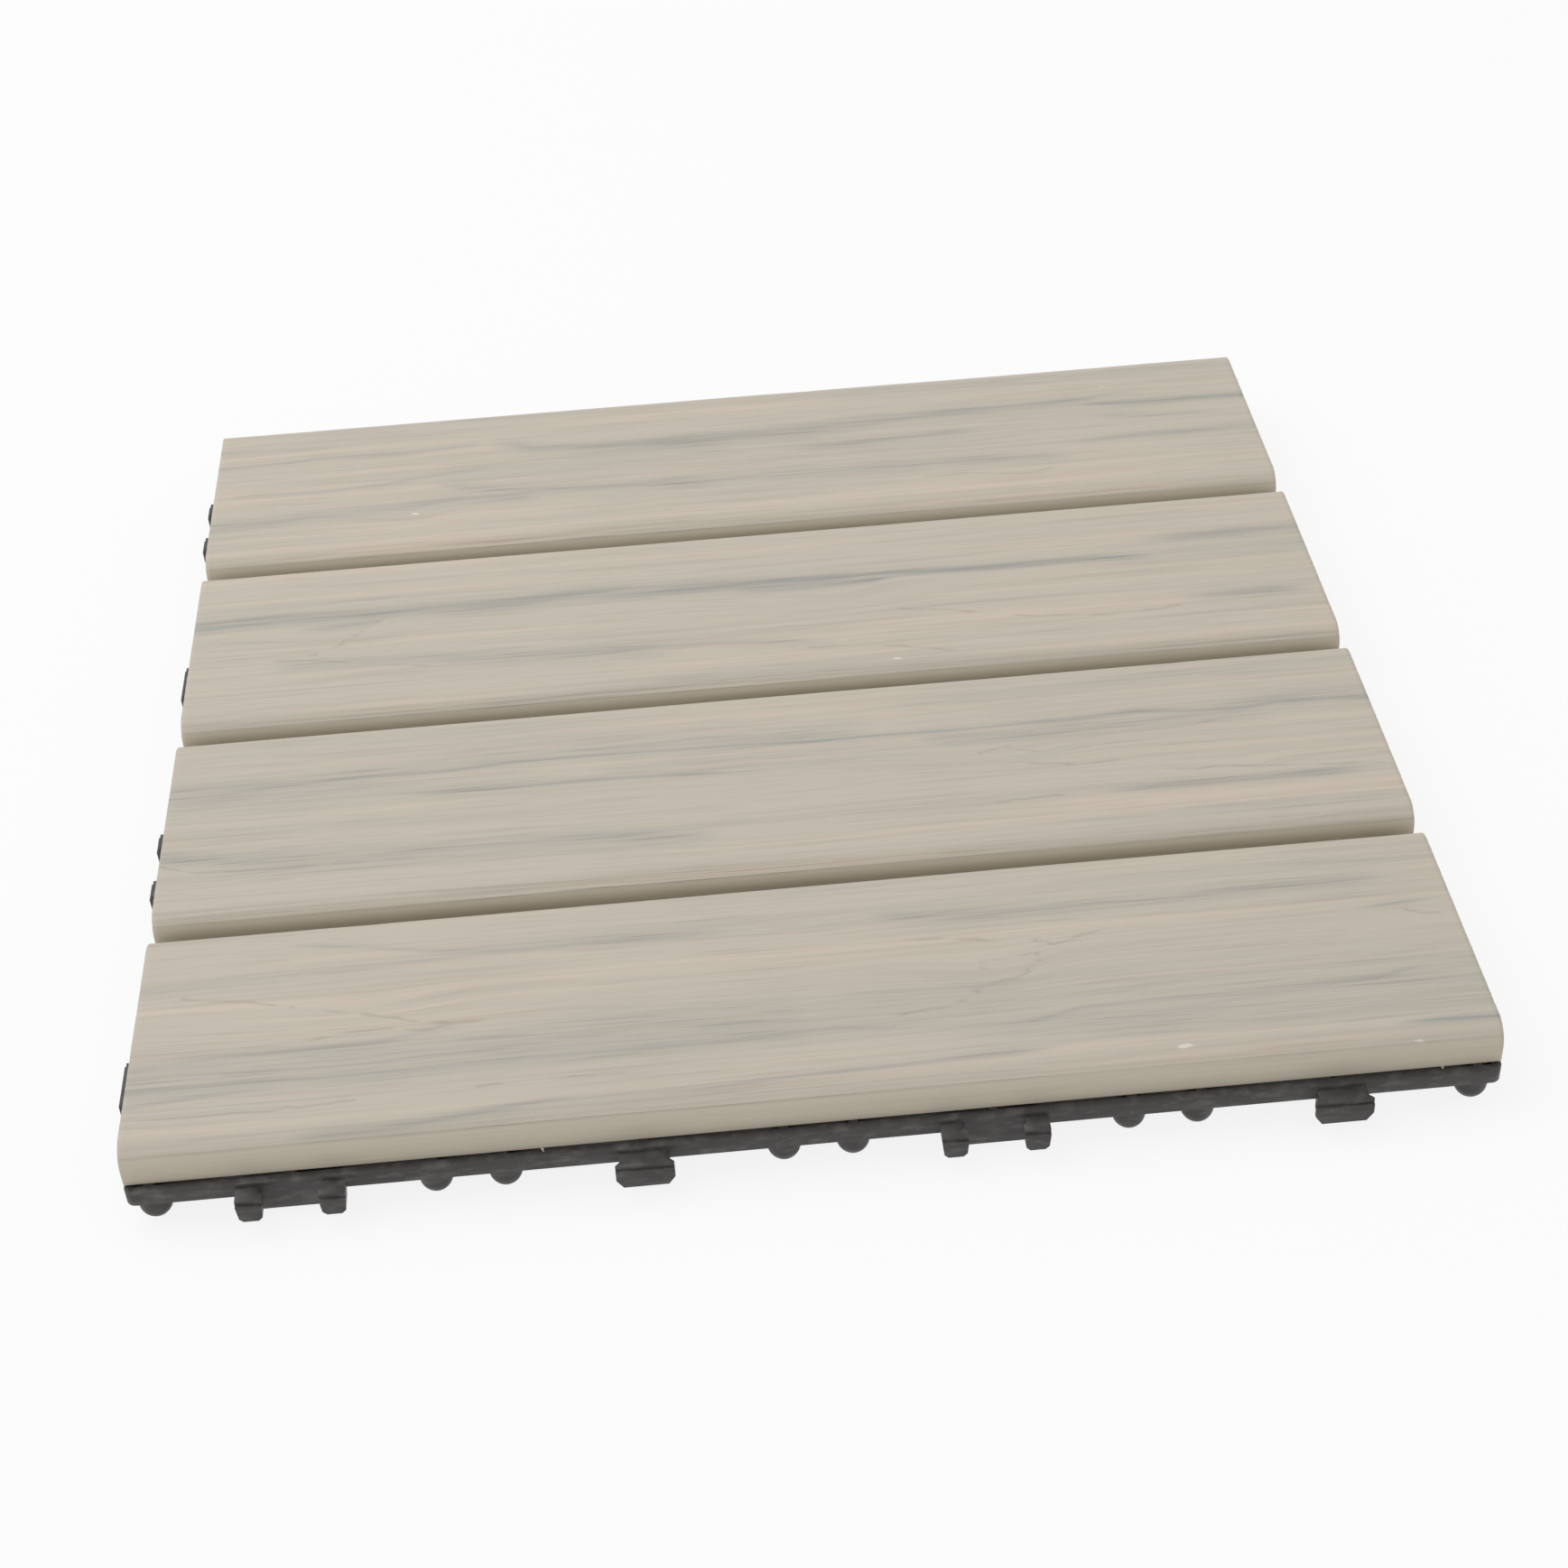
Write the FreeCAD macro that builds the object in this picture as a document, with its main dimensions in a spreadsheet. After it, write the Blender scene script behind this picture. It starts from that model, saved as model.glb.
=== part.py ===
import FreeCAD, Part
import math
import os
import Sketcher

# Interlocking deck tile: composite boards screwed from beneath to a moulded grid base.
# +X runs along the boards, -Y is the front side, and the origin is under the tile's centre,
# on the plane that the feet stand on. Sizes are in millimetres.

ALONG_BOARDS = FreeCAD.Vector(1, 0, 0)
UPWARDS = FreeCAD.Vector(0, 0, 1)
BOARDS = ["board_front", "board_middle_front", "board_middle_back", "board_back"]
BOARD_GROOVES_PER_HALF = 2
TILE_SIDES = 4
FOOT_FACETS = 12
BOSS_FACETS = 12
NEARLY = 0.01

document = FreeCAD.newDocument("deck_tile")
sheet = document.addObject("Spreadsheet::Sheet", "sizes")

SIZES = [
    # Boards, one to each row of the base's square modules
    ("board_count", len(BOARDS)),
    ("pitch", 75.0),
    ("board_gap", 4.0),
    ("board_thickness", 9.8),
    ("board_edge_radius", 5.5),
    ("board_arris_radius", 0.7),
    ("groove_width", 6.0),
    ("groove_depth", 1.0),
    ("groove_first", 13.0),
    ("groove_spacing", 12.0),
    # Modules, rim and ribs of the base. The modules run on from tile to joined tile.
    ("module", 76.2),
    ("base_setback", 0.0),
    ("rim_wall", 2.0),
    ("rim_height", 3.8),
    ("rim_corner_radius", 2.2),
    ("rib_wall", 2.0),
    ("seat_rise", 0.2),
    # Feet
    ("foot_height", 7.45),
    ("foot_diameter", 7.3),
    ("foot_margin", 7.6),
    ("foot_lead", 1.6),
    ("foot_lead_taper", 45.0),
    # Screw bosses of the base
    ("boss_diameter", 12.0),
    ("boss_drop", 2.0),
    ("boss_floor", 3.0),
    # Screws
    ("screw_diameter", 4.0),
    ("screw_grip", 7.0),
    ("head_diameter", 8.0),
    ("head_height", 2.5),
    ("shank_clearance", 0.25),
    ("thread_clearance", 0.05),
    ("head_clearance", 0.5),
    ("pilot_spare", 0.5),
    # Tabs, which drop into the next tile's sockets
    ("tab_neck_width", 11.0),
    ("tab_head_width", 12.8),
    ("tab_neck_reach", 2.6),
    ("tab_reach", 4.5),
    ("tab_drop", 7.2),
    ("tab_lead_height", 2.2),
    ("tab_lead_width", 1.5),
    # Sockets, each a pair of prongs in front of a deeper stretch of rim
    ("socket_clearance", 0.55),
    ("socket_undercut", 0.7),
    ("socket_throat", 2.2),
    ("prong_width", 5.8),
    ("prong_reach", 4.7),
    ("prong_drop", 6.9),
    ("prong_draft", 0.35),
    ("prong_corner", 0.9),
    ("web_drop", 8.3),
    ("web_setback", 0.8),
    # Step and lip on top of the tabs and prongs
    ("joint_step", 1.3),
    ("lip_drop", 2.4),
    ("lip_reach", 0.6),
]

# Sizes that follow from the ones above
DERIVED = [
    ("tile_side", "pitch * board_count"),
    ("board_width", "pitch - board_gap"),
    ("first_row", "-(board_count - 1) / 2 * pitch"),
    ("first_module", "-(board_count - 1) / 2 * module"),
    ("base_side", "tile_side - 2 * base_setback"),
    ("rib_offset", "module / 2 - foot_margin"),
    ("rim_top", "foot_height + rim_height"),
    ("seat", "rim_top + seat_rise"),
    ("boss_height", "boss_drop + rim_height + seat_rise"),
    ("socket_gap", "tab_neck_width + 2 * socket_clearance"),
]

for row, (alias, value) in enumerate(SIZES + DERIVED, start=1):
    sheet.set(f"A{row}", alias.replace("_", " "))
    sheet.set(f"B{row}", f"={value}" if isinstance(value, str) else str(value))
    sheet.setAlias(f"B{row}", alias)
document.recompute()


def number(formula):
    """The value of a formula of sheet sizes, such as "sizes.pitch / 2"."""
    return float(sheet.evalExpression(formula))


# Bodies, sketches and features


def origin_part(body, role):
    """One of the body's own origin planes or axes."""
    return next(part for part in body.Origin.OriginFeatures if part.Role == role)


def add_body(name, height="0", across="0"):
    """A body whose label names its file, raised and moved across the boards by formulas."""
    body = document.addObject("PartDesign::Body", name)
    body.Label = name
    body.setExpression("Placement.Base.z", height)
    body.setExpression("Placement.Base.y", across)
    return body


def add_sketch(body, name, plane, offset):
    """A sketch on one of the body's origin planes, moved along its normal by a formula."""
    sketch = body.newObject("Sketcher::SketchObject", name)
    sketch.AttachmentSupport = [(origin_part(body, plane), "")]
    sketch.MapMode = "FlatFace"
    sketch.setExpression("AttachmentOffset.Base.z", offset)
    return sketch


def hold_point(sketch, geometry, point, x, y):
    """Hold a point of the sketch at two formulas."""
    for kind, formula in (("DistanceX", x), ("DistanceY", y)):
        held = Sketcher.Constraint(kind, -1, 1, geometry, point, number(formula))
        index = sketch.addConstraint(held)
        sketch.setExpression(f"Constraints[{index}]", formula)


def add_outline(sketch, corners):
    """A closed outline of straight edges, whose corners are pairs of formulas."""
    points = [FreeCAD.Vector(number(x), number(y), 0) for x, y in corners]
    first = sketch.GeometryCount
    count = len(points)
    for index, point in enumerate(points):
        sketch.addGeometry(Part.LineSegment(point, points[(index + 1) % count]))
    for index in range(count):
        following = first + (index + 1) % count
        sketch.addConstraint(Sketcher.Constraint("Coincident", first + index, 2, following, 1))
    for index, (x, y) in enumerate(corners):
        hold_point(sketch, first + index, 1, x, y)


def add_rectangle(sketch, left, right, low, high):
    """A rectangle between four formulas."""
    add_outline(sketch, [(left, low), (right, low), (right, high), (left, high)])


def add_polygon(sketch, x, y, diameter, facets):
    """A regular outline round a centre, with a flat side towards -Y, whose corners lie on a circle."""
    turns = [(corner + 0.5) * 360 / facets - 90 for corner in range(facets)]
    add_outline(sketch, [(f"{x} + {diameter} / 2 * cos({turn})", f"{y} + {diameter} / 2 * sin({turn})")
                         for turn in turns])


def add_circle(sketch, x, y, diameter):
    """A circle at two formulas, of a diameter given by a third."""
    centre = FreeCAD.Vector(number(x), number(y), 0)
    circle = Part.Circle(centre, FreeCAD.Vector(0, 0, 1), number(diameter) / 2)
    geometry = sketch.addGeometry(circle)
    hold_point(sketch, geometry, 3, x, y)
    index = sketch.addConstraint(Sketcher.Constraint("Diameter", geometry, number(diameter)))
    sketch.setExpression(f"Constraints[{index}]", diameter)


def add_feature(kind, name, sketch, length, backwards=False):
    """A pad or pocket that follows its sketch's normal, or goes against it."""
    body = sketch.getParentGeoFeatureGroup()
    feature = body.newObject(f"PartDesign::{kind}", name)
    feature.Profile = sketch
    feature.setExpression("Length", length)
    feature.Reversed = backwards if kind == "Pad" else not backwards
    feature.Refine = False
    body.Tip = feature
    return feature


def add_row(name, body, axis, spacing, count):
    """A row of copies along an axis."""
    pattern = body.newObject("PartDesign::LinearPattern", name)
    pattern.Direction = (origin_part(body, axis), [""])
    pattern.Mode = "Spacing"
    pattern.setExpression("Offset", spacing)
    pattern.setExpression("Occurrences", count)
    return pattern


def repeat_whole(name, body, axis, count):
    """Repeat all that the body holds so far, from module to module."""
    pattern = add_row(name, body, axis, "sizes.module", count)
    pattern.TransformMode = "Whole shape"
    body.Tip = pattern


def to_other_end(name, body):
    """The step from a screw near one end of a board to the one near its other end."""
    return add_row(name, body, "X_Axis", "(sizes.board_count - 1) * sizes.module", "2")


def repeat_on_sides(name, originals):
    """Repeat features of the front side on the other three sides of the tile."""
    body = originals[0].getParentGeoFeatureGroup()
    pattern = body.newObject("PartDesign::PolarPattern", name)
    pattern.Originals = originals
    pattern.Axis = (origin_part(body, "Z_Axis"), [""])
    pattern.Angle = 360
    pattern.Occurrences = TILE_SIDES
    pattern.Refine = False
    body.Tip = pattern


def fuse(name, body, others):
    """Join other bodies to what the body holds so far."""
    joined = body.newObject("PartDesign::Boolean", name)
    joined.setObjects(others)
    joined.Type = "Fuse"
    joined.Refine = False
    body.Tip = joined
    return joined


def round_edges(name, feature, radius, axis, wanted):
    """Round the edges of a feature that run along an axis and whose middle passes a test."""
    document.recompute()
    chosen = []
    for index, edge in enumerate(feature.Shape.Edges, start=1):
        run = edge.Vertexes[-1].Point - edge.Vertexes[0].Point
        if run.cross(axis).Length < NEARLY and wanted(edge.CenterOfMass):
            chosen.append(f"Edge{index}")
    body = feature.getParentGeoFeatureGroup()
    fillet = body.newObject("PartDesign::Fillet", name)
    fillet.Base = (feature, chosen)
    fillet.setExpression("Radius", radius)
    body.Tip = fillet
    return fillet


# Grid base: rim, ribs, feet and screw bosses


def add_rim(base):
    outer = "sizes.base_side / 2"
    inner = "sizes.base_side / 2 - sizes.rim_wall"
    sketch = add_sketch(base, "rim_plan", "XY_Plane", "sizes.foot_height")
    for edge in (outer, inner):
        add_rectangle(sketch, f"-({edge})", edge, f"-({edge})", edge)
    rim = add_feature("Pad", "rim", sketch, "sizes.rim_height")
    corner = number(outer) * math.sqrt(2)
    round_edges("rim_corners", rim, "sizes.rim_corner_radius", UPWARDS,
                lambda point: math.hypot(point.x, point.y) > corner - NEARLY)


def add_ribs(module, name, x, y):
    """Three ribs along a module and three across it, round its centre."""
    for direction in ("across", "along"):
        sketch = add_sketch(module, f"{name}_ribs_{direction}_plan", "XY_Plane", "sizes.foot_height")
        for offset in ("-sizes.rib_offset", "0", "sizes.rib_offset"):
            wall = (f"{offset} - sizes.rib_wall / 2", f"{offset} + sizes.rib_wall / 2")
            run = ("-sizes.module / 2", "sizes.module / 2")
            x_range, y_range = (wall, run) if direction == "across" else (run, wall)
            add_rectangle(sketch, f"{x} + {x_range[0]}", f"{x} + {x_range[1]}",
                          f"{y} + {y_range[0]}", f"{y} + {y_range[1]}")
        add_feature("Pad", f"{name}_ribs_{direction}", sketch, "sizes.rim_height + sizes.seat_rise")


def add_feet(module, name, x, y):
    """Four feet round a module's centre, tapered where they stand."""
    sketch = add_sketch(module, f"{name}_feet_plan", "XY_Plane", "sizes.foot_lead")
    for x_side in ("-", "+"):
        for y_side in ("-", "+"):
            add_polygon(sketch, f"{x} {x_side} sizes.rib_offset", f"{y} {y_side} sizes.rib_offset",
                        "sizes.foot_diameter", FOOT_FACETS)
    add_feature("Pad", f"{name}_feet", sketch, "sizes.foot_height - sizes.foot_lead")
    lead = add_feature("Pad", f"{name}_foot_leads", sketch, "sizes.foot_lead", backwards=True)
    lead.setExpression("TaperAngle", "-sizes.foot_lead_taper")


def add_boss(module, name, x, y):
    """A boss at the module's centre, with a screw hole and a recess for the screw's head."""
    plans = []
    for form in ("boss", "screw_hole", "head_recess"):
        plans.append(add_sketch(module, f"{name}_{form}_plan", "XY_Plane", "sizes.seat - sizes.boss_height"))
    boss, hole, recess = plans
    add_polygon(boss, x, y, "sizes.boss_diameter", BOSS_FACETS)
    add_circle(hole, x, y, "sizes.screw_diameter + 2 * sizes.shank_clearance")
    add_circle(recess, x, y, "sizes.head_diameter + 2 * sizes.head_clearance")
    add_feature("Pad", f"{name}_boss", boss, "sizes.boss_height")
    add_feature("Pocket", f"{name}_screw_hole", hole, "sizes.boss_height")
    add_feature("Pocket", f"{name}_head_recess", recess, "sizes.boss_height - sizes.boss_floor")


def make_module(name, column, screwed):
    """One module of the front row, with a screw boss or without."""
    module = add_body(name)
    x = f"sizes.first_module + {column} * sizes.module"
    y = "sizes.first_module"
    add_ribs(module, name, x, y)
    add_feet(module, name, x, y)
    if screwed:
        add_boss(module, name, x, y)
    return module


def make_grid():
    """The modules that fill the rim: a row of them is repeated and trimmed to the rim's inside."""
    grid = make_module("inner_module", 1, screwed=False)
    repeat_whole("inner_modules", grid, "X_Axis", "sizes.board_count - 2")
    ends = [make_module("left_module", 0, screwed=True),
            make_module("right_module", len(BOARDS) - 1, screwed=True)]
    fuse("front_row", grid, ends)
    repeat_whole("all_rows", grid, "Y_Axis", "sizes.board_count")
    sketch = add_sketch(grid, "trim_plan", "XY_Plane", "sizes.foot_height")
    for edge in ("sizes.base_side / 2 - sizes.rim_wall",
                 "sizes.board_count * sizes.module / 2 + sizes.rim_wall"):
        add_rectangle(sketch, f"-({edge})", edge, f"-({edge})", edge)
    add_feature("Pocket", "trim", sketch, "sizes.rim_height + sizes.seat_rise")
    return grid


# Tabs and sockets, drawn on the front side: seen from outside, every side has from left to
# right a socket, a tab, a socket and a tab, so tiles join in any turn


def from_top(drop):
    """The height of something that lies a given drop below the rim's top."""
    return f"sizes.rim_top - {drop}"


def mirrored(corners, centre):
    """Move an outline's corners out to a centre, and give its mirror image too."""
    moved = [(f"{centre} + {x}", y) for x, y in corners]
    image = [(f"{centre} - ({x})", y) for x, y in reversed(corners)]
    return moved, image


def cut_lip(base, name, centres, half_width, reach):
    """Set the top of a tab or a pair of prongs back, so that a lip stands in front of it."""
    sketch = add_sketch(base, f"{name}_plan", "XY_Plane", from_top("sizes.lip_drop"))
    tip = f"-sizes.base_side / 2 - {reach}"
    for centre in centres:
        add_rectangle(sketch, f"{centre} - ({half_width})", f"{centre} + {half_width}",
                      tip, f"{tip} + sizes.lip_reach")
    return add_feature("Pocket", name, sketch, "sizes.lip_drop - sizes.joint_step")


def add_tabs(base):
    centres = ["-sizes.module / 2", "sizes.module * 3 / 2"]
    half = "sizes.tab_head_width / 2"
    face = add_sketch(base, "tab_face", "XZ_Plane", "sizes.base_side / 2")
    for centre in centres:
        side = [(half, from_top("sizes.joint_step")),
                (half, from_top("sizes.tab_drop") + " + sizes.tab_lead_height"),
                (f"{half} - sizes.tab_lead_width", from_top("sizes.tab_drop"))]
        right, left = mirrored(side, centre)
        add_outline(face, right + left)
    tab = add_feature("Pad", "tabs", face, "sizes.tab_reach")

    notch_plan = add_sketch(base, "neck_plan", "XY_Plane", from_top("sizes.tab_drop"))
    rim_face = "-sizes.base_side / 2"
    for centre in centres:
        ear = "(sizes.tab_head_width - sizes.tab_neck_width) / 2"
        neck = [("sizes.tab_neck_width / 2", rim_face), (half, rim_face),
                (half, f"{rim_face} - sizes.tab_neck_reach - {ear}"),
                ("sizes.tab_neck_width / 2", f"{rim_face} - sizes.tab_neck_reach")]
        for corners in mirrored(neck, centre):
            add_outline(notch_plan, corners)
    notches = add_feature("Pocket", "tab_necks", notch_plan, "sizes.tab_drop")
    lip = cut_lip(base, "tab_lip", centres, half, "sizes.tab_reach")
    repeat_on_sides("tabs_on_sides", [tab, notches, lip])


def add_sockets(base):
    centres = ["-sizes.module * 3 / 2", "sizes.module / 2"]
    inner = "sizes.socket_gap / 2"
    outer = "sizes.socket_gap / 2 + sizes.prong_width"
    rim_face = "-sizes.base_side / 2"

    web_face = add_sketch(base, "web_face", "XZ_Plane", "sizes.base_side / 2")
    for centre in centres:
        half_web = f"({outer} - sizes.web_setback)"
        add_rectangle(web_face, f"{centre} - {half_web}", f"{centre} + {half_web}",
                      from_top("sizes.web_drop"), "sizes.rim_top")
    web = add_feature("Pad", "socket_webs", web_face, "sizes.rim_wall", backwards=True)

    prong_face = add_sketch(base, "prong_face", "XZ_Plane", "sizes.base_side / 2")
    top = from_top("sizes.joint_step")
    corner = from_top("sizes.prong_drop") + " + sizes.prong_corner"
    foot = from_top("sizes.prong_drop")
    for centre in centres:
        prong = [(inner, top), (inner, from_top("sizes.lip_drop")),
                 (f"{inner} + sizes.prong_draft", corner),
                 (f"{inner} + sizes.prong_draft + sizes.prong_corner", foot),
                 (f"{outer} - sizes.prong_draft - sizes.prong_corner", foot),
                 (f"{outer} - sizes.prong_draft", corner),
                 (outer, from_top("sizes.lip_drop")), (outer, top)]
        for corners in mirrored(prong, centre):
            add_outline(prong_face, corners)
    prongs = add_feature("Pad", "prongs", prong_face, "sizes.prong_reach")

    throat_plan = add_sketch(base, "throat_plan", "XY_Plane", from_top("sizes.prong_drop"))
    for centre in centres:
        throat = [(inner, rim_face), (f"{inner} + sizes.socket_undercut", rim_face),
                  (f"{inner} + sizes.socket_undercut",
                   f"{rim_face} - sizes.socket_throat + sizes.socket_undercut"),
                  (inner, f"{rim_face} - sizes.socket_throat")]
        for corners in mirrored(throat, centre):
            add_outline(throat_plan, corners)
    throats = add_feature("Pocket", "socket_throats", throat_plan, "sizes.prong_drop")
    lip = cut_lip(base, "prong_lip", centres, outer, "sizes.prong_reach")
    repeat_on_sides("sockets_on_sides", [web, prongs, throats, lip])


def make_base():
    base = add_body("base_grid")
    add_rim(base)
    add_tabs(base)
    add_sockets(base)
    joined = fuse("grid_in_rim", base, [make_grid()])
    joined.Refine = True
    return base


# Boards: one extruded section, grooved beneath, with blind pilot holes for the screws


def make_board(name, row):
    board = add_body(name, "sizes.seat", f"sizes.first_row + {row} * sizes.pitch")
    half = "sizes.board_width / 2"
    thickness = "sizes.board_thickness"
    right = []
    for index in range(BOARD_GROOVES_PER_HALF):
        middle = f"(sizes.groove_first + {index} * sizes.groove_spacing)"
        near = f"{middle} - sizes.groove_width / 2"
        far = f"{middle} + sizes.groove_width / 2"
        right += [(near, "0"), (near, "sizes.groove_depth"), (far, "sizes.groove_depth"), (far, "0")]
    right += [(half, "0"), (half, thickness)]
    section = add_sketch(board, f"{name}_section", "YZ_Plane", "-sizes.tile_side / 2")
    moved, image = mirrored(right, "0")
    add_outline(section, moved + image)
    plank = add_feature("Pad", f"{name}_plank", section, "sizes.tile_side")

    side = number(half)
    top = number(thickness)
    rounded = round_edges(f"{name}_edges", plank, "sizes.board_edge_radius", ALONG_BOARDS,
                          lambda point: abs(point.y) > side - NEARLY and point.z > top - NEARLY)
    round_edges(f"{name}_arrises", rounded, "sizes.board_arris_radius", ALONG_BOARDS,
                lambda point: abs(point.y) > side - NEARLY and point.z < NEARLY)

    pilot_plan = add_sketch(board, f"{name}_pilot_plan", "XY_Plane", "0")
    screw_line = f"sizes.first_module - sizes.first_row + {row} * (sizes.module - sizes.pitch)"
    add_circle(pilot_plan, "sizes.first_module", screw_line,
               "sizes.screw_diameter + 2 * sizes.thread_clearance")
    pilot = add_feature("Pocket", f"{name}_pilot", pilot_plan, "sizes.screw_grip + sizes.pilot_spare")
    pilots = to_other_end(f"{name}_pilots", board)
    pilots.Originals = [pilot]
    board.Tip = pilots
    return board


# Screws: pan heads in the bosses' recesses, shanks in the boards, one near each end of a board


def make_screws():
    screws = add_body("fixing_screws", "sizes.seat - sizes.boss_floor")
    screws.AllowCompound = True
    forms = [("head", "sizes.head_diameter", "sizes.head_height", True),
             ("shank", "sizes.screw_diameter", "sizes.boss_floor + sizes.screw_grip", False)]
    for name, diameter, length, downwards in forms:
        plan = add_sketch(screws, f"screw_{name}_plan", "XY_Plane", "0")
        add_circle(plan, "sizes.first_module", "sizes.first_module", diameter)
        add_feature("Pad", f"screw_{name}", plan, length, backwards=downwards)
    rows = screws.newObject("PartDesign::MultiTransform", "screw_rows")
    rows.Originals = [document.screw_head, document.screw_shank]
    rows.Transformations = [
        to_other_end("screws_along", screws),
        add_row("screws_across", screws, "Y_Axis", "sizes.module", "sizes.board_count"),
    ]
    screws.Tip = rows
    return screws


tile_parts = [make_base()]
tile_parts += [make_board(name, row) for row, name in enumerate(BOARDS)]
tile_parts += [make_screws()]
document.recompute()

for item in document.Objects:
    if "Invalid" in item.State or "Error" in item.State:
        raise RuntimeError(f"{item.Name} did not build: {item.State}")
for body in tile_parts:
    if body.Shape.isNull() or not body.Shape.isValid():
        raise RuntimeError(f"{body.Label} has no valid solid")

os.makedirs("parts", exist_ok=True)
for body in tile_parts:
    body.Shape.exportStep(f"parts/{body.Label}.step")
    print(body.Label, len(body.Shape.Solids), "solids", round(body.Shape.Volume), "cubic millimetres")
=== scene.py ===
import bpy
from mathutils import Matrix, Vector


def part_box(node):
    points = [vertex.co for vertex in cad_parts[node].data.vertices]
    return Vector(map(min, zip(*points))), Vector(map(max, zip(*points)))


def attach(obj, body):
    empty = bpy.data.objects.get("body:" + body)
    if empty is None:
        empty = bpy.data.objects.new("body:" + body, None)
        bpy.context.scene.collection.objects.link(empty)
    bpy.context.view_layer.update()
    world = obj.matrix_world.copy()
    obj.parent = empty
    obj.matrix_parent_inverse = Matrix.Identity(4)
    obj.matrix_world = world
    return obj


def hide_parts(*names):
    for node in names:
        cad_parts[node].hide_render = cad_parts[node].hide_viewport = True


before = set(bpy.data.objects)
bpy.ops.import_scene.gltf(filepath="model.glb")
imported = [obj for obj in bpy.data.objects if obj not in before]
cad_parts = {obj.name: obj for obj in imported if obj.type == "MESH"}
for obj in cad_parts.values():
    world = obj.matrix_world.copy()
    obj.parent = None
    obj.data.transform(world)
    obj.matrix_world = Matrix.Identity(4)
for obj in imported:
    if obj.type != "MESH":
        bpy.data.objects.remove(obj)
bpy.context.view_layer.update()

import math

import bmesh
import bpy
import numpy as np
from bpy.props import FloatProperty, FloatVectorProperty, IntProperty, PointerProperty
from mathutils import Vector

bl_info = {
    "name": "Deck tile",
    "version": (1, 0, 0),
    "blender": (4, 5, 0),
    "location": "View3D > Sidebar > Deck tile",
    "description": "Dresses a composite deck tile: embossed boards, moulded grid base and screws",
    "category": "Object",
}

MM = 0.001
BODY = "root"

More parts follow.
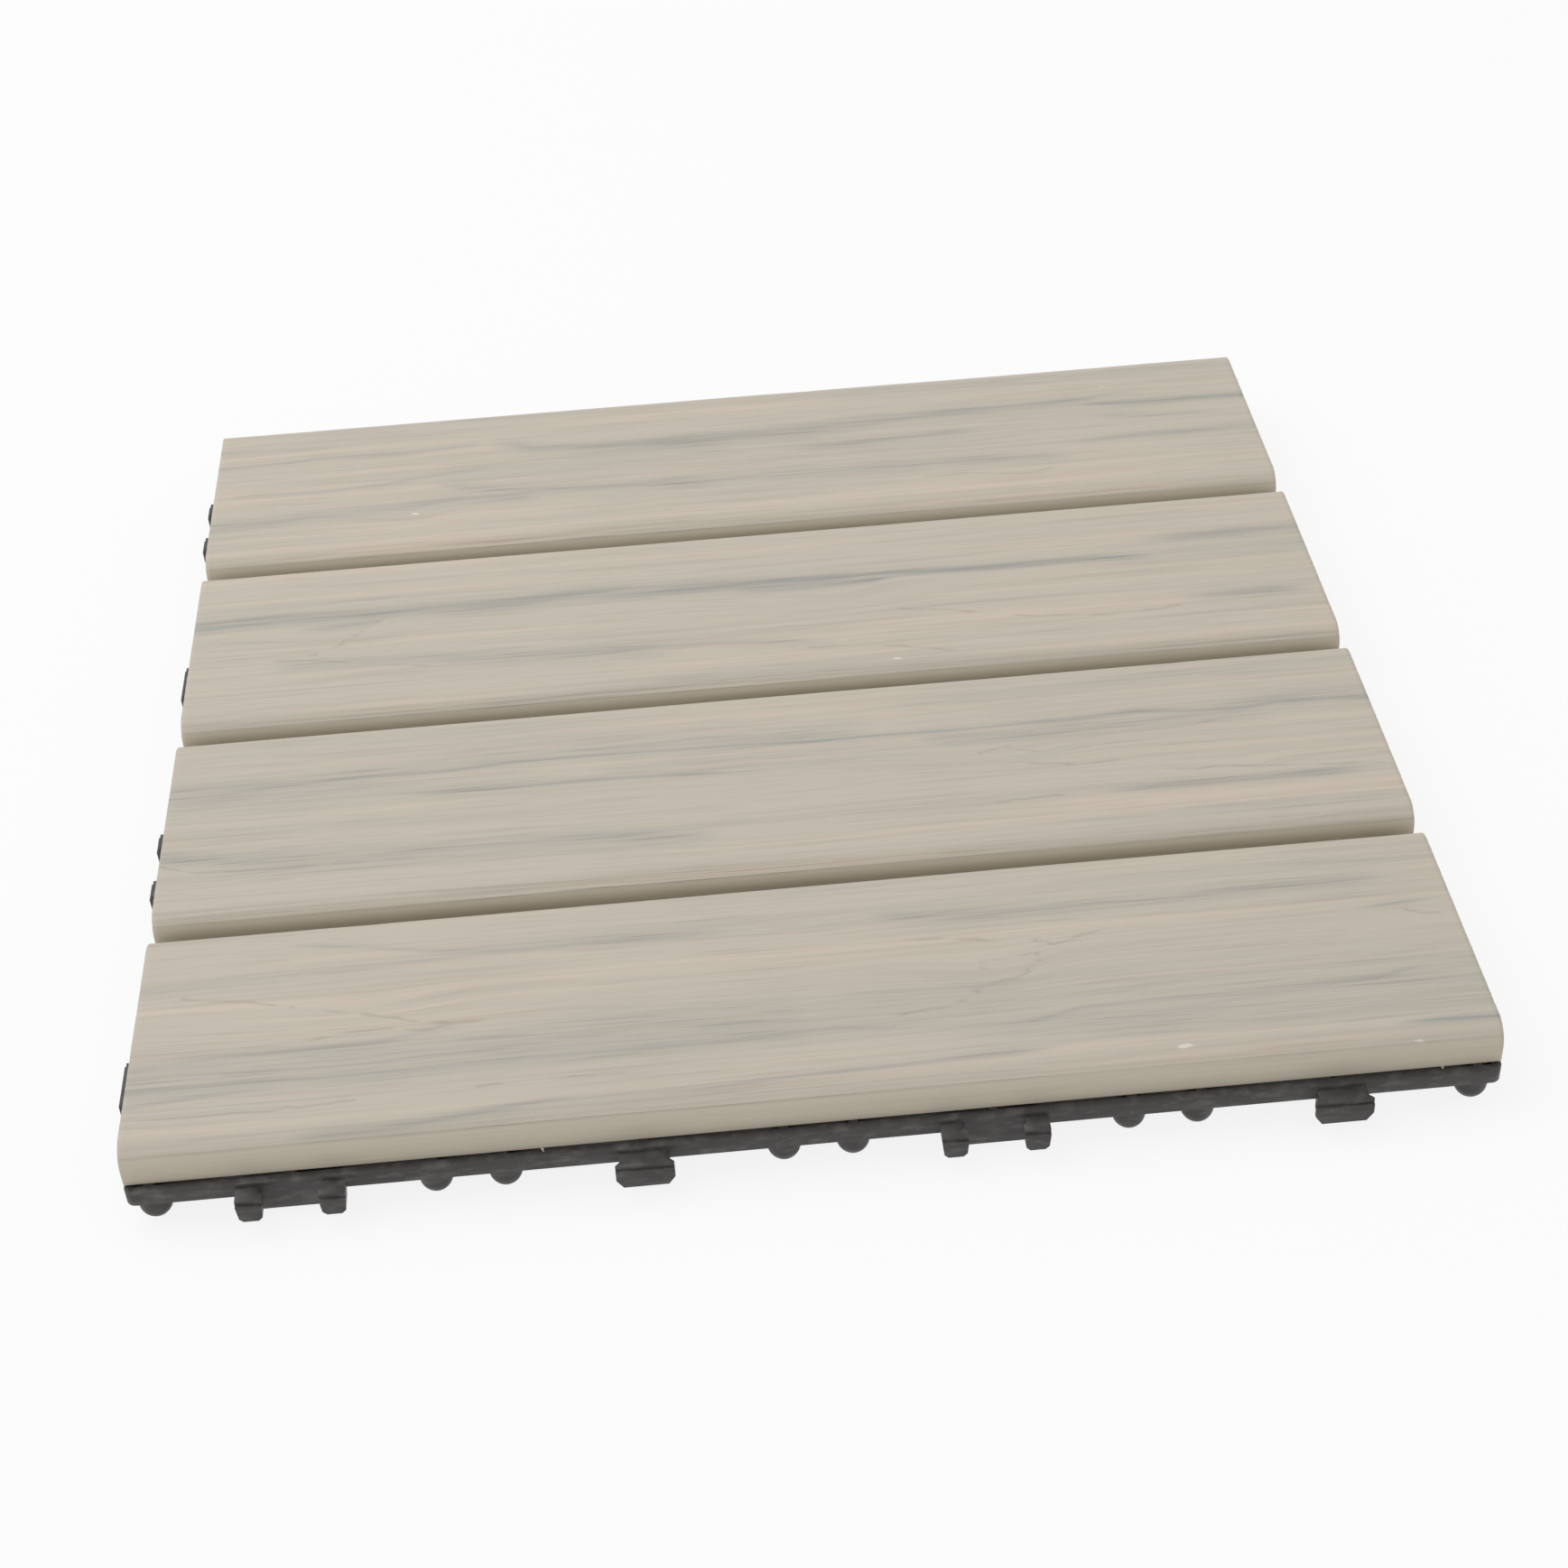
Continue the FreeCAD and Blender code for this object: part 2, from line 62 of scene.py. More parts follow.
# Grain of the boards, in millimetres from each board's centre. A streak follows its points and
# has the half width and strength of its blue core, then those of the pale mist round it. With a
# blue strength of 0 it is mist alone. A ring is the ragged dark edge of a growth ring. A flame is
# the figure that the rings make round a long eye: its centre, half length, half width, and how
# far it pushes the grain aside.
BOARDS = {
    "board_back": {
        "seed": 11,
        "streaks": [
            ([(-152, 14.4), (-136, 14.8), (-116, 15.7), (-95, 15.1), (-70, 16.2)],
             0.6, 0.45, 2.0, 0.4),
            ([(-74, 16.6), (-58, 12.0), (-40, 9.8), (-10, 9.2), (20, 10.6), (50, 12.2), (84, 13.2),
              (112, 14.6)], 1.0, 0.25, 3.4, 0.65),
            ([(96, 12.6), (112, 10.6), (126, 9.9), (152, 9.6)], 0.9, 0.6, 2.2, 0.55),
            ([(14, 13.0), (36, 14.3), (76, 13.8), (99, 14.6), (122, 17.0)], 0.5, 0.3, 1.6, 0.3),
            ([(92, -9.2), (111, -8.3), (134, -7.6), (152, -7.3)], 0.8, 0.4, 2.4, 0.5),
            ([(100, 4.8), (124, 1.9), (144, 0.8)], 0.6, 0.25, 1.8, 0.45),
            ([(-152, -17.4), (-126, -16.3), (-103, -15.0), (-81, -12.2), (-50, -14.0)],
             0.9, 0.12, 4.4, 0.6),
            ([(-90, -2.4), (-76, -7.2), (-63, -10.2), (-41, -12.0), (-13, -13.4), (20, -12.8),
              (58, -13.7), (100, -15.2)], 0.9, 0.3, 3.8, 0.6),
            ([(12, 0.8), (34, 0.1), (49, 1.4), (74, 2.6)], 0.5, 0.2, 2.2, 0.4),
            ([(-147, -2.9), (-136, -1.3), (-120, -2.7), (-102, -1.2), (-86, 1.7), (-66, 3.5)],
             0.4, 0.25, 1.4, 0.35),
        ],
        "rings": [
            [(-147, -2.7), (-143, -1.3), (-136, -1.3)],
            [(52, -21.0), (63, -20.6), (80, -23.3), (89, -21.6)],
            [(-22, -13.6), (-8, -13.4)],
        ],
        "flames": [(-92, -18.0, 16, 4.0, 3.0), (60, -3.0, 34, 3.4, 2.2)],
    },
    "board_middle_back": {
        "seed": 23,
        "streaks": [
            ([(-152, 9.4), (-128, 9.6), (-99, 8.7), (-65, 9.3), (-48, 9.6), (-16, 8.7), (16, 7.7),
              (34, 7.6)], 2.3, 0.55, 4.0, 0.6),
            ([(-122, 8.6), (-108, 8.4), (-96, 8.9), (-78, 9.6)], 0.7, 0.75, 1.2, 0.4),
            ([(-127, 4.3), (-112, 4.1), (-103, 5.0), (-92, 8.4)], 1.0, 0.3, 2.2, 0.8),
            ([(-6, 8.6), (20, 8.4), (34, 7.9), (54, 6.8), (75, 6.8), (96, 6.4), (112, 5.0)],
             1.05, 0.9, 1.7, 0.9),
            ([(40, 7.6), (50, 7.2), (62, 6.8)], 0.45, 1.0, 0.7, 0.5),
            ([(-12, 6.0), (6, 4.7), (22, 5.2), (32, 5.6), (44, 7.8)], 1.2, 0.55, 2.0, 0.9),
            ([(-134, -10.4), (-112, -12.2), (-84, -13.4), (-50, -16.6), (-16, -17.8)],
             0.8, 0.12, 3.4, 0.55),
            ([(104, 14.4), (121, 14.8), (136, 14.4), (152, 13.7)], 0.75, 0.35, 2.4, 0.6),
            ([(108, -15.0), (122, -15.1), (138, -14.7), (150, -16.0)], 0.75, 0.15, 3.0, 0.6),
            ([(-48, -15.0), (-23, -17.2), (0, -19.0), (24, -22.0)], 0.6, 0.25, 2.0, 0.4),
        ],
        "rings": [
            [(-118, -7.8), (-113, -5.9), (-107, -1.2), (-103, 3.7), (-99, 6.6)],
            [(-127, -9.2), (-119, -10.0), (-103, -13.5), (-84, -17.6)],
            [(37, -8.8), (53, -12.1), (62, -15.1), (75, -17.9), (91, -19.6), (102, -19.3),
             (112, -18.1)],
            [(4, -21.7), (19, -23.8), (34, -25.1), (50, -29.6)],
        ],
        "flames": [(-106, 1.0, 20, 4.2, 3.6), (24, -2.0, 24, 5.6, 4.2)],
    },
    "board_middle_front": {
        "seed": 37,
        "streaks": [
            ([(-152, 12.8), (-136, 12.2), (-121, 13.2), (-101, 14.2), (-70, 15.4), (-20, 15.6),
              (30, 13.6)], 0.8, 0.0, 5.6, 0.5),
            ([(-152, 13.5), (-121, 13.0), (-101, 12.9), (-84, 12.4), (-66, 14.0), (-42, 13.5),
              (-13, 13.1), (10, 11.8), (39, 12.2), (77, 12.1)], 0.5, 0.65, 1.4, 0.4),
            ([(-99, 5.4), (-84, 4.6), (-66, 3.8), (-33, 3.5), (-8, 2.4)], 0.45, 0.55, 1.2, 0.4),
            ([(30, 8.2), (62, 8.0), (85, 8.2), (104, 8.8), (122, 11.6), (136, 13.4), (152, 13.4)],
             0.8, 0.0, 4.2, 0.6),
            ([(56, 12.1), (77, 12.1), (92, 12.6), (104, 11.5), (118, 10.8), (128, 11.8),
              (152, 11.0)], 0.8, 0.75, 1.8, 0.6),
            ([(86, 4.7), (104, 5.4), (112, 7.6), (122, 10.4)], 0.4, 0.5, 1.4, 0.4),
            ([(-152, -12.2), (-129, -16.8), (-102, -17.2), (-75, -17.0), (-48, -17.8),
              (-12, -21.8)], 0.7, 0.2, 3.0, 0.6),
            ([(76, -17.4), (100, -17.0), (123, -17.8), (146, -17.8)], 0.7, 0.3, 2.4, 0.55),
            ([(-50, 7.6), (8, 6.8), (46, 5.2)], 0.7, 0.0, 3.4, 0.35),
        ],
        "rings": [
            [(-149, -15.4), (-140, -18.7), (-130, -19.5), (-115, -19.2), (-102, -20.0)],
            [(51, 1.5), (58, 3.5), (65, 0.2)],
            [(61, -3.8), (74, -6.3), (85, -5.6)],
            [(95, -11.0), (101, -11.9), (110, -11.7), (124, -13.6), (147, -15.7)],
            [(53, -18.3), (63, -17.6), (68, -17.5)],
        ],
        "flames": [(58, -1.0, 30, 4.6, 3.2), (112, -12.0, 22, 3.4, 2.4)],
    },
    "board_front": {
        "seed": 41,
        "streaks": [
            ([(-152, -14.6), (-110, -14.0), (-72, -13.4), (-20, -12.6), (8, -12.4)],
             0.8, 0.0, 9.4, 0.6),
            ([(-16, -12.6), (40, -12.2), (90, -12.0), (152, -11.4)], 0.8, 0.0, 9.0, 0.34),
            ([(-152, -9.8), (-137, -9.1), (-128, -8.3), (-109, -8.1), (-95, -7.4), (-86, -6.1),
              (-72, -5.2)], 0.9, 0.45, 2.2, 0.4),
            ([(-152, -17.0), (-130, -17.3), (-109, -17.6), (-90, -17.1), (-61, -17.3),
              (-30, -17.1), (6, -16.4), (24, -18.4)], 0.6, 0.5, 1.8, 0.3),
            ([(-152, -22.2), (-133, -20.3), (-112, -19.6)], 0.7, 0.4, 1.6, 0.3),
            ([(40, -20.6), (50, -19.6), (61, -16.8), (81, -16.3), (107, -16.5), (127, -15.5),
              (142, -12.0)], 0.7, 0.5, 2.0, 0.3),
            ([(112, -17.4), (136, -17.6), (152, -17.3)], 0.5, 0.45, 1.2, 0.3),
            ([(-116, -34.8), (-104, -33.9), (-85, -33.2), (-71, -32.0), (-58, -30.9), (-29, -31.0),
              (6, -30.2), (31, -29.2), (56, -28.6)], 0.6, 0.45, 1.7, 0.45),
            ([(124, -30.2), (142, -30.7), (152, -30.6)], 0.6, 0.55, 1.3, 0.5),
            ([(-122, 27.6), (-97, 24.0), (-86, 21.5), (-64, 18.5), (-50, 17.0), (-30, 16.4)],
             0.4, 0.3, 1.5, 0.35),
            ([(-151, 15.8), (-129, 16.2), (-111, 17.5), (-60, 19.0), (-10, 18.8)],
             0.6, 0.1, 2.8, 0.45),
            ([(14, 18.9), (38, 17.6), (54, 17.1), (66, 16.7), (89, 17.1), (109, 18.2),
              (140, 18.0)], 0.8, 0.18, 3.0, 0.48),
            ([(124, 7.0), (134, 7.9), (142, 8.6), (150, 9.2)], 0.5, 0.6, 1.4, 0.4),
        ],
        "rings": [
            [(24, 10.6), (37, 9.4), (46, 7.2), (53, 7.3), (58, 4.6), (65, 6.8), (69, 8.4)],
            [(55, 2.8), (52, -2.4), (47, -5.4), (40, -7.2), (37, -10.5), (32, -12.5), (21, -13.7)],
            [(54, 2.3), (45, 1.3), (42, 1.1), (40, -3.0)],
            [(-140, 12.4), (-134, 10.5), (-123, 9.1), (-112, 4.9), (-100, 2.4), (-89, -1.5),
             (-79, -3.4), (-71, -3.4)],
            [(-111, -5.9), (-103, -3.5), (-93, -3.7), (-86, -5.1), (-79, -3.9), (-71, -3.4)],
            [(-147, -25.9), (-138, -26.0), (-118, -26.1), (-99, -25.2)],
            [(-72, -24.8), (-61, -23.7), (-40, -24.4)],
            [(138, 6.3), (142, 4.3), (146, 3.8)],
        ],
        "flames": [(-98, 3.0, 34, 7.0, 3.2), (46, -1.5, 20, 6.0, 3.6)],
    },
}

# Chips where the pale core shows: board, place along and across it, and half size, in
# millimetres
NICKS = [
    ("board_middle_back", 35.0, -31.1, 1.1),
    ("board_front", 80.5, -31.4, 1.5),
    ("board_front", 131.5, -34.9, 0.7),
    ("board_back", 110.0, 20.3, 0.7),
    ("board_back", -92.0, -18.3, 1.3),
]

# Slivers of board that the saw left: the place of each root in millimetres, and the way it
# points
SLIVERS = [
    ((-60.0, -147.6, 11.75), (0.25, -0.8, -0.5)),
    ((137.0, -147.6, 11.85), (-0.2, -0.9, -0.2)),
    ((149.2, 131.5, 20.2), (0.9, 0.1, 0.05)),
]

# Length, curl and number of steps of a sliver
SLIVER_LENGTH = 1.3
SLIVER_CURL = 0.4
SLIVER_STEPS = 7

# A streak that reaches past the board's end doesn't fade there. Others fade over some
# millimetres.
BOARD_END = 150
STREAK_FADE = 14

# The embossing goes over the long edges by some degrees and fades over some millimetres. The
# sawn ends start a little inside the rounding round them.
EMBOSSED_TURN = 54
EMBOSSED_FADE = 0.6
END_MARGIN = 0.1

# Heights under which the solid has nothing but the ends of its feet, and nothing but their
# flats
FOOT_TUCK_BELOW = 1.8 * MM
FOOT_FLAT_BELOW = 0.1 * MM

# A screw in millimetres, and the rings of points in one turn of its thread
HEAD_HEIGHT = 2.5
THREAD_START = 1.0
POINT_LENGTH = 1.4
RINGS_A_TURN = 8

# Sockets of a Mix node that mixes colours
MIX_FACTOR, MIX_UNDER, MIX_OVER, MIX_RESULT = 0, 6, 7, 2

# White, the share of it in the floor where it is seen, and the place of the lamp in metres
WHITE = "ffffff"
FLOOR_WHITE = 0.86
LAMP_PLACE = (-0.9, 0.35, 1.5)

# Place in millimetres, turn in degrees about X, Y and Z, lens and sensor of the camera
CAMERA_PLACE = (-21.40, -565.70, 440.69)
CAMERA_TURN = (51.3049, 2.6273, -4.6098)
CAMERA_LENS = 63.01
SENSOR = 36.0


def linear(code):
    """An sRGB hex colour as linear red, green and blue."""
    parts = [int(code[start:start + 2], 16) / 255 for start in (0, 2, 4)]
    return [part / 12.92 if part <= 0.04045 else ((part + 0.055) / 1.055) ** 2.4 for part in parts]


def smooth(low, high, value):
    """0 below low, 1 above high, and a smooth step between."""
    share = np.clip((value - low) / (high - low), 0.0, 1.0)
    return share * share * (3.0 - 2.0 * share)


def colour(name, code, description):
    """A colour that a user can change, from its hex code."""
    return FloatVectorProperty(name=name, description=description, subtype="COLOR", size=3,
                               min=0.0, max=1.0, default=linear(code))


def length(name, millimetres, description):
    """A size that a user can change, from millimetres."""
    return FloatProperty(name=name, description=description, subtype="DISTANCE", unit="LENGTH",
                         precision=5, min=0.0, default=millimetres * MM)


# Sizes and colours that a user would change


class BoardSettings(bpy.types.PropertyGroup):
    """Sizes and colours of the boards"""
    edge_radius: length("Edge radius", 5.5, "Rounding of the long top edges")
    arris_radius: length("Lower edge radius", 0.7, "Rounding of the long edges beneath")
    groove_width: length("Groove width", 6.0, "Width of the grooves beneath")
    groove_depth: length("Groove depth", 1.0, "Depth of the grooves beneath")
    groove_first: length("First groove", 13.0, "From the middle of a board to its first groove")
    groove_spacing: length("Groove spacing", 12.0, "From one groove to the next")
    pore_depth: length("Pore depth", 0.12, "Depth of the finest embossed lines")
    swell_depth: length("Swell depth", 0.16, "Height of the broad embossed waves")
    pore_spacing: length("Pore spacing", 0.85, "From one embossed pore line to the next")
    end_softness: length("End softness", 0.25, "Rounding of the sawn ends")
    row_step: length("Step across", 0.32, "Mesh step across the embossed face")
    column_step: length("Step along", 1.0, "Mesh step along the board")
    beige: colour("Beige", "c9c1b2", "Ground colour of the embossed face")
    cream: colour("Cream", "d1c4b4", "Warm bands of the embossed face")
    mist: colour("Mist", "b8b3a8", "Pale grey haze round the streaks")
    grey: colour("Blue-grey", "9ea09f", "Streaks of the embossed face")
    # The sides' own colour, raised to about the face's ground: partly painted light, for the light
    # that reaches into the gaps between the boards
    side: colour("Side", "cdc3b1", "Smooth extruded sides")
    core: colour("Core", "efeae0", "Pale core, where it is chipped")


class BaseSettings(bpy.types.PropertyGroup):
    """Sizes and colours of the grid base and its feet"""
    softness: length("Edge softness", 0.22, "Rounding that the mould leaves on each edge")
    pitch: length("Module pitch", 76.2, "From one module of the grid to the next")
    modules: IntProperty(name="Modules", description="Modules along each side", default=4, min=1)
    foot_spacing: length("Foot spacing", 61.0, "Between the feet of one module")
    foot_radius: length("Foot radius", 3.68, "Radius of a foot above its rounded end")
    end_height: length("Foot end", 3.6, "Height of the rounded end of a foot")
    root_radius: length("Root radius", 3.9, "Radius of a foot where it meets the grid")
    foot_height: length("Foot height", 7.45, "From the ground to the rim")
    plastic: colour("Plastic", "3b3837", "Charcoal polypropylene")
    scuffed: colour("Scuffed plastic", "7b7876", "Rubbed edges and scuffs")


class ScrewSettings(bpy.types.PropertyGroup):
    """Sizes and colour of the screws"""
    head_radius: length("Head radius", 4.0, "Radius of the pan head")
    shank_radius: length("Shank radius", 2.0, "Radius over the thread")
    recess_width: length("Recess width", 4.2, "Across the arms of the cross recess")
    recess_arm: length("Recess arm", 0.9, "Width of each arm of the recess")
    recess_depth: length("Recess depth", 1.3, "Depth of the cross recess")
    thread_pitch: length("Thread pitch", 1.4, "From one thread to the next")
    thread_depth: length("Thread depth", 0.5, "From the thread's crest to its root")
    spacing: length("Spacing", 228.6, "Between the outer screws, along and across the tile")
    rows: IntProperty(name="Rows", description="Rows of screws, one row to a board",
                      default=4, min=1)
    segments: IntProperty(name="Segments", description="Faces round a screw", default=32, min=12)
    steel: colour("Steel", "b9b6b0", "Plain stainless steel")


class StageSettings(bpy.types.PropertyGroup):
    """The floor and the light"""
    floor_size: FloatProperty(name="Floor", description="Side of the floor", subtype="DISTANCE",
                              unit="LENGTH", default=12.0)
    floor: colour("Floor colour", "f4f4f2", "Pale floor")
    lamp_size: FloatProperty(name="Lamp size", description="Side of the soft lamp overhead",
                             subtype="DISTANCE", unit="LENGTH", default=1.6)
    lamp_power: FloatProperty(name="Lamp power", description="Power of the soft lamp",
                              subtype="POWER", unit="POWER", default=13.0)
    sky: FloatProperty(name="Sky", description="Strength of the even light all round",
                       default=0.62, min=0.0)


# Shared makers


def add_node(tree, kind, properties=None, inputs=None):
    """A node with its properties. Each input is a value, or the socket that feeds it."""
    node = tree.nodes.new(kind)
    for name, value in (properties or {}).items():
        setattr(node, name, value)
    for key, value in (inputs or {}).items():
        if isinstance(value, bpy.types.NodeSocket):
            tree.links.new(value, node.inputs[key])
        else:
            node.inputs[key].default_value = value
    return node


def new_material(name):
    """A material with an empty tree, and that tree."""
    material = bpy.data.materials.new(name)
    material.use_nodes = True
    material.node_tree.nodes.clear()
    return material, material.node_tree


def rgba(value, share=1.0):
    """A colour as a socket takes it, made darker or paler by a share."""
    return (*(part * share for part in value), 1.0)


def new_mesh_object(name, points, faces):
    """A piece in the scene, from its points in metres and its faces."""
    mesh = bpy.data.meshes.new(name)
    mesh.from_pydata([tuple(point) for point in points], [], faces)
    mesh.update()
    obj = bpy.data.objects.new(name, mesh)
    bpy.context.scene.collection.objects.link(obj)
    return obj


def side_faces(rings, count, first=0):
    """Faces between rings that each have the same count of points, from the first point on."""
    faces = []
    for ring in range(rings - 1):
        near = first + ring * count
        for index in range(count):
            after = (index + 1) % count
            faces.append((near + index, near + after, near + count + after, near + count + index))
    return faces


def end_faces(rings, count, first=0):
    """The two faces that close the first and the last ring."""
    last = first + (rings - 1) * count
    return [tuple(reversed(range(first, first + count))), tuple(range(last, last + count))]


def shade_smooth(obj, degrees):
    """Shade a piece smooth, apart from edges sharper than an angle."""
    obj.data.polygons.foreach_set("use_smooth", [True] * len(obj.data.polygons))
    obj.data.set_sharp_from_angle(angle=math.radians(degrees))


def finish_piece(obj, material, slot, *replaced):
    """Give a piece its finish and its place among the tile's pieces."""
    obj.data.materials.clear()
    obj.data.materials.append(material)
    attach(obj, BODY)
    if replaced:
        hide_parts(*replaced)


def noise(along, across, cell, seed):
    """Smooth noise from 0 to 1 over cells of a length and a width."""
    along = along / cell[0]
    across = across / cell[1]
    count = 256
    table = np.random.default_rng(seed).random((count, count))
    column = np.floor(along).astype(int)
    row = np.floor(across).astype(int)
    right = smooth(0.0, 1.0, along - column)
    up = smooth(0.0, 1.0, across - row)
    rows = []
    for step in (0, 1):
        left_value = table[column % count, (row + step) % count]
        right_value = table[(column + 1) % count, (row + step) % count]
        rows.append(left_value * (1 - right) + right_value * right)
    return rows[0] * (1 - up) + rows[1] * up


def new_tree(name, sizes):
    """A geometry tree with named inputs, its group input sockets and its output sockets."""
    tree = bpy.data.node_groups.new(name, "GeometryNodeTree")
    tree.interface.new_socket("Geometry", in_out="INPUT", socket_type="NodeSocketGeometry")
    for size, value in sizes.items():
        kind = "NodeSocketInt" if isinstance(value, int) else "NodeSocketFloat"
        tree.interface.new_socket(size, in_out="INPUT", socket_type=kind)
    tree.interface.new_socket("Geometry", in_out="OUTPUT", socket_type="NodeSocketGeometry")
    return tree, tree.nodes.new("NodeGroupInput").outputs, tree.nodes.new("NodeGroupOutput").inputs


def grow(obj, tree, sizes):
    """Run a geometry tree on an object and keep the result as its plain mesh."""
    modifier = obj.modifiers.new(tree.name, "NODES")
    modifier.node_group = tree
    for item in tree.interface.items_tree:
        if item.in_out == "INPUT" and item.name in sizes:
            modifier[item.identifier] = sizes[item.name]
    bpy.context.view_layer.update()
    evaluated = obj.evaluated_get(bpy.context.evaluated_depsgraph_get())
    mesh = bpy.data.meshes.new_from_object(evaluated)
    obj.modifiers.remove(modifier)
    if not mesh.polygons:
        raise RuntimeError(f"{tree.name} made no faces")
    obj.data = mesh


# Boards. Their sections, grain and noise cells are in millimetres.


def board_section(settings, half_width, thickness):
    """Points round a board's section: across, up, and the way over the embossed face from its
    middle, or None on the smooth rest."""
    radius = settings.edge_radius / MM
    arris = settings.arris_radius / MM
    flat = half_width - radius
    reach = flat + radius * math.radians(EMBOSSED_TURN)
    steps = round(2 * reach / (settings.row_step / MM))
    face = []
    for index in range(steps + 1):
        way = reach - 2 * reach * index / steps
        turn = max(abs(way) - flat, 0.0) / radius
        across = math.copysign(min(abs(way), flat) + radius * math.sin(turn), way)
        face.append((across, thickness - radius * (1 - math.cos(turn)), way))
    # Down one side: the rest of the rounded top edge, the lower edge, and the grooves
    side = []
    for degrees in (28, 19, 9, 0):
        angle = math.radians(degrees)
        side.append((half_width - radius * (1 - math.cos(angle)),
                     thickness - radius * (1 - math.sin(angle))))
    for degrees in (0, 30, 60, 90):
        angle = math.radians(degrees)
        side.append((half_width - arris * (1 - math.cos(angle)), arris * (1 - math.sin(angle))))
    half = settings.groove_width / MM / 2
    depth = settings.groove_depth / MM
    for groove in (1, 0):
        middle = (settings.groove_first + groove * settings.groove_spacing) / MM
        side += [(middle + half, 0.0), (middle + half, depth), (middle - half, depth),
                 (middle - half, 0.0)]
    down = [(-across, up, None) for across, up in side]
    back_up = [(across, up, None) for across, up in reversed(side)]
    return face + down + [(0.0, 0.0, None)] + back_up


def section_normals(across, up):
    """Outward normals of a closed section that runs over the top towards negative across."""
    along_y = np.roll(across, -1) - np.roll(across, 1)
    along_z = np.roll(up, -1) - np.roll(up, 1)
    size = np.hypot(along_y, along_z)
    return along_z / size, -along_y / size


def board_stations(settings, low, high):
    """Places along a board, how far its section is drawn in at each, and 1 on the sawn ends."""
    soft = settings.end_softness / MM
    steps = round((high - low) / (settings.column_step / MM))
    inner = np.linspace(low + soft, high - soft, steps)
    stations = np.concatenate([[low, low], inner, [high, high]])
    inset = np.concatenate([[soft + END_MARGIN, soft], np.zeros(steps), [soft, soft + END_MARGIN]])
    sawn = np.concatenate([[1.0, 0.0], np.zeros(steps), [0.0, 1.0]])
    return stations, inset, sawn


def distance_to_line(line, x, y):
    """Distance from points to a line of straight runs."""
    nearest = np.full_like(x, np.inf)
    for (x0, y0), (x1, y1) in zip(line, line[1:]):
        run = (x1 - x0) ** 2 + (y1 - y0) ** 2
        share = np.clip(((x - x0) * (x1 - x0) + (y - y0) * (y1 - y0)) / run, 0.0, 1.0)
        away = np.hypot(x - x0 - share * (x1 - x0), y - y0 - share * (y1 - y0))
        nearest = np.minimum(nearest, away)
    return nearest


def grain_flow(board, along, way):
    """Which line of the grain passes each point: it wanders a little, and bends round the eyes,
    more sharply to the right of each."""
    seed = board["seed"]
    flow = way + 2.2 * (noise(along, way, (110, 26), seed) - 0.5)
    flow = flow + 0.5 * (noise(along, way, (34, 9), seed + 1) - 0.5)
    for x, y, half_length, half_width, push in board["flames"]:
        stretch = np.where(along < x, 1.0, 0.55)
        eye = np.exp(-((along - x) / (half_length * stretch)) ** 2 - ((way - y) / half_width) ** 2)
        flow = flow + push * eye
    return flow


def streak_fields(board, along, way, flow):
    """The blue cores of the streaks and the mist round them. A streak fades at its ends, unless
    it runs off the board."""
    seed = board["seed"]
    fields = {"blue": np.zeros_like(along), "mist": np.zeros_like(along)}
    for points, *widths in board["streaks"]:
        xs, ys = zip(*points)
        # The streak's middle wavers along the board, and alike all the way across it
        middle = np.interp(along, xs, ys) + 0.8 * (noise(along, way * 0, (23, 1), seed + 5) - 0.5)
        first = 1.0 if xs[0] < -BOARD_END else smooth(xs[0], xs[0] + STREAK_FADE, along)
        last = 1.0 if xs[-1] > BOARD_END else 1 - smooth(xs[-1] - STREAK_FADE, xs[-1], along)
        ragged = 0.6 + 0.8 * noise(along, flow, (17, 0.7), seed + 6)
        for field, half_width, strength in zip(fields, widths[::2], widths[1::2]):
            band = np.exp(-(np.abs(way - middle) / half_width) ** 1.9)
            fields[field] = np.maximum(fields[field], strength * band * first * last * ragged)
    return fields


def ring_edges(board, along, way):
    """The edges of the rings: thin lines that wander and break off here and there."""
    seed = board["seed"]
    wander_x = along + 3.0 * (noise(along, way, (3.4, 0.9), seed + 13) - 0.5)
    wander_y = way + 0.55 * (noise(along, way, (3.0, 3.0), seed + 14) - 0.5)
    broken = smooth(0.12, 0.55, noise(along, way, (5.0, 1.2), seed + 15))
    ring = np.zeros_like(along)
    for line in board["rings"]:
        away = distance_to_line(line, wander_x, wander_y)
        ring = np.maximum(ring, (1 - smooth(0.1, 0.6, away)) * broken)
    return ring


def grain(board, along, way):
    """The grain at points along and across a board: its flow, blue streaks, pale mist, cream
    bands and ring edges."""
    seed = board["seed"]
    flow = grain_flow(board, along, way)
    fields = {"flow": flow, **streak_fields(board, along, way, flow)}
    haze = 0.6 * noise(along, flow, (130, 5.5), seed + 2)
    haze = haze + 0.4 * noise(along, flow, (60, 2.3), seed + 3)
    fields["mist"] = np.clip(fields["mist"] + 0.35 * smooth(0.48, 0.8, haze), 0.0, 1.0)
    fields["cream"] = smooth(0.5, 0.9, noise(along, flow, (90, 2.1), seed + 7))
    fields["ring"] = ring_edges(board, along, way)
    return fields


def embossing(settings, seed, along, fields):
    """How deep the roller pressed its pores, and how high it left the broad waves, from 0 to 1."""
    # Long pores, with shorter and shallower ones between them
    spacing = settings.pore_spacing / MM
    flow = fields["flow"]
    long = smooth(0.55, 0.9, noise(along, flow, (36, spacing), seed + 8))
    short = smooth(0.7, 0.92, noise(along, flow, (20, 0.8 * spacing), seed + 9))
    pores = np.maximum(np.maximum(long, 0.8 * short), fields["ring"])
    return pores, noise(along, flow, (60, 2.4), seed + 10)


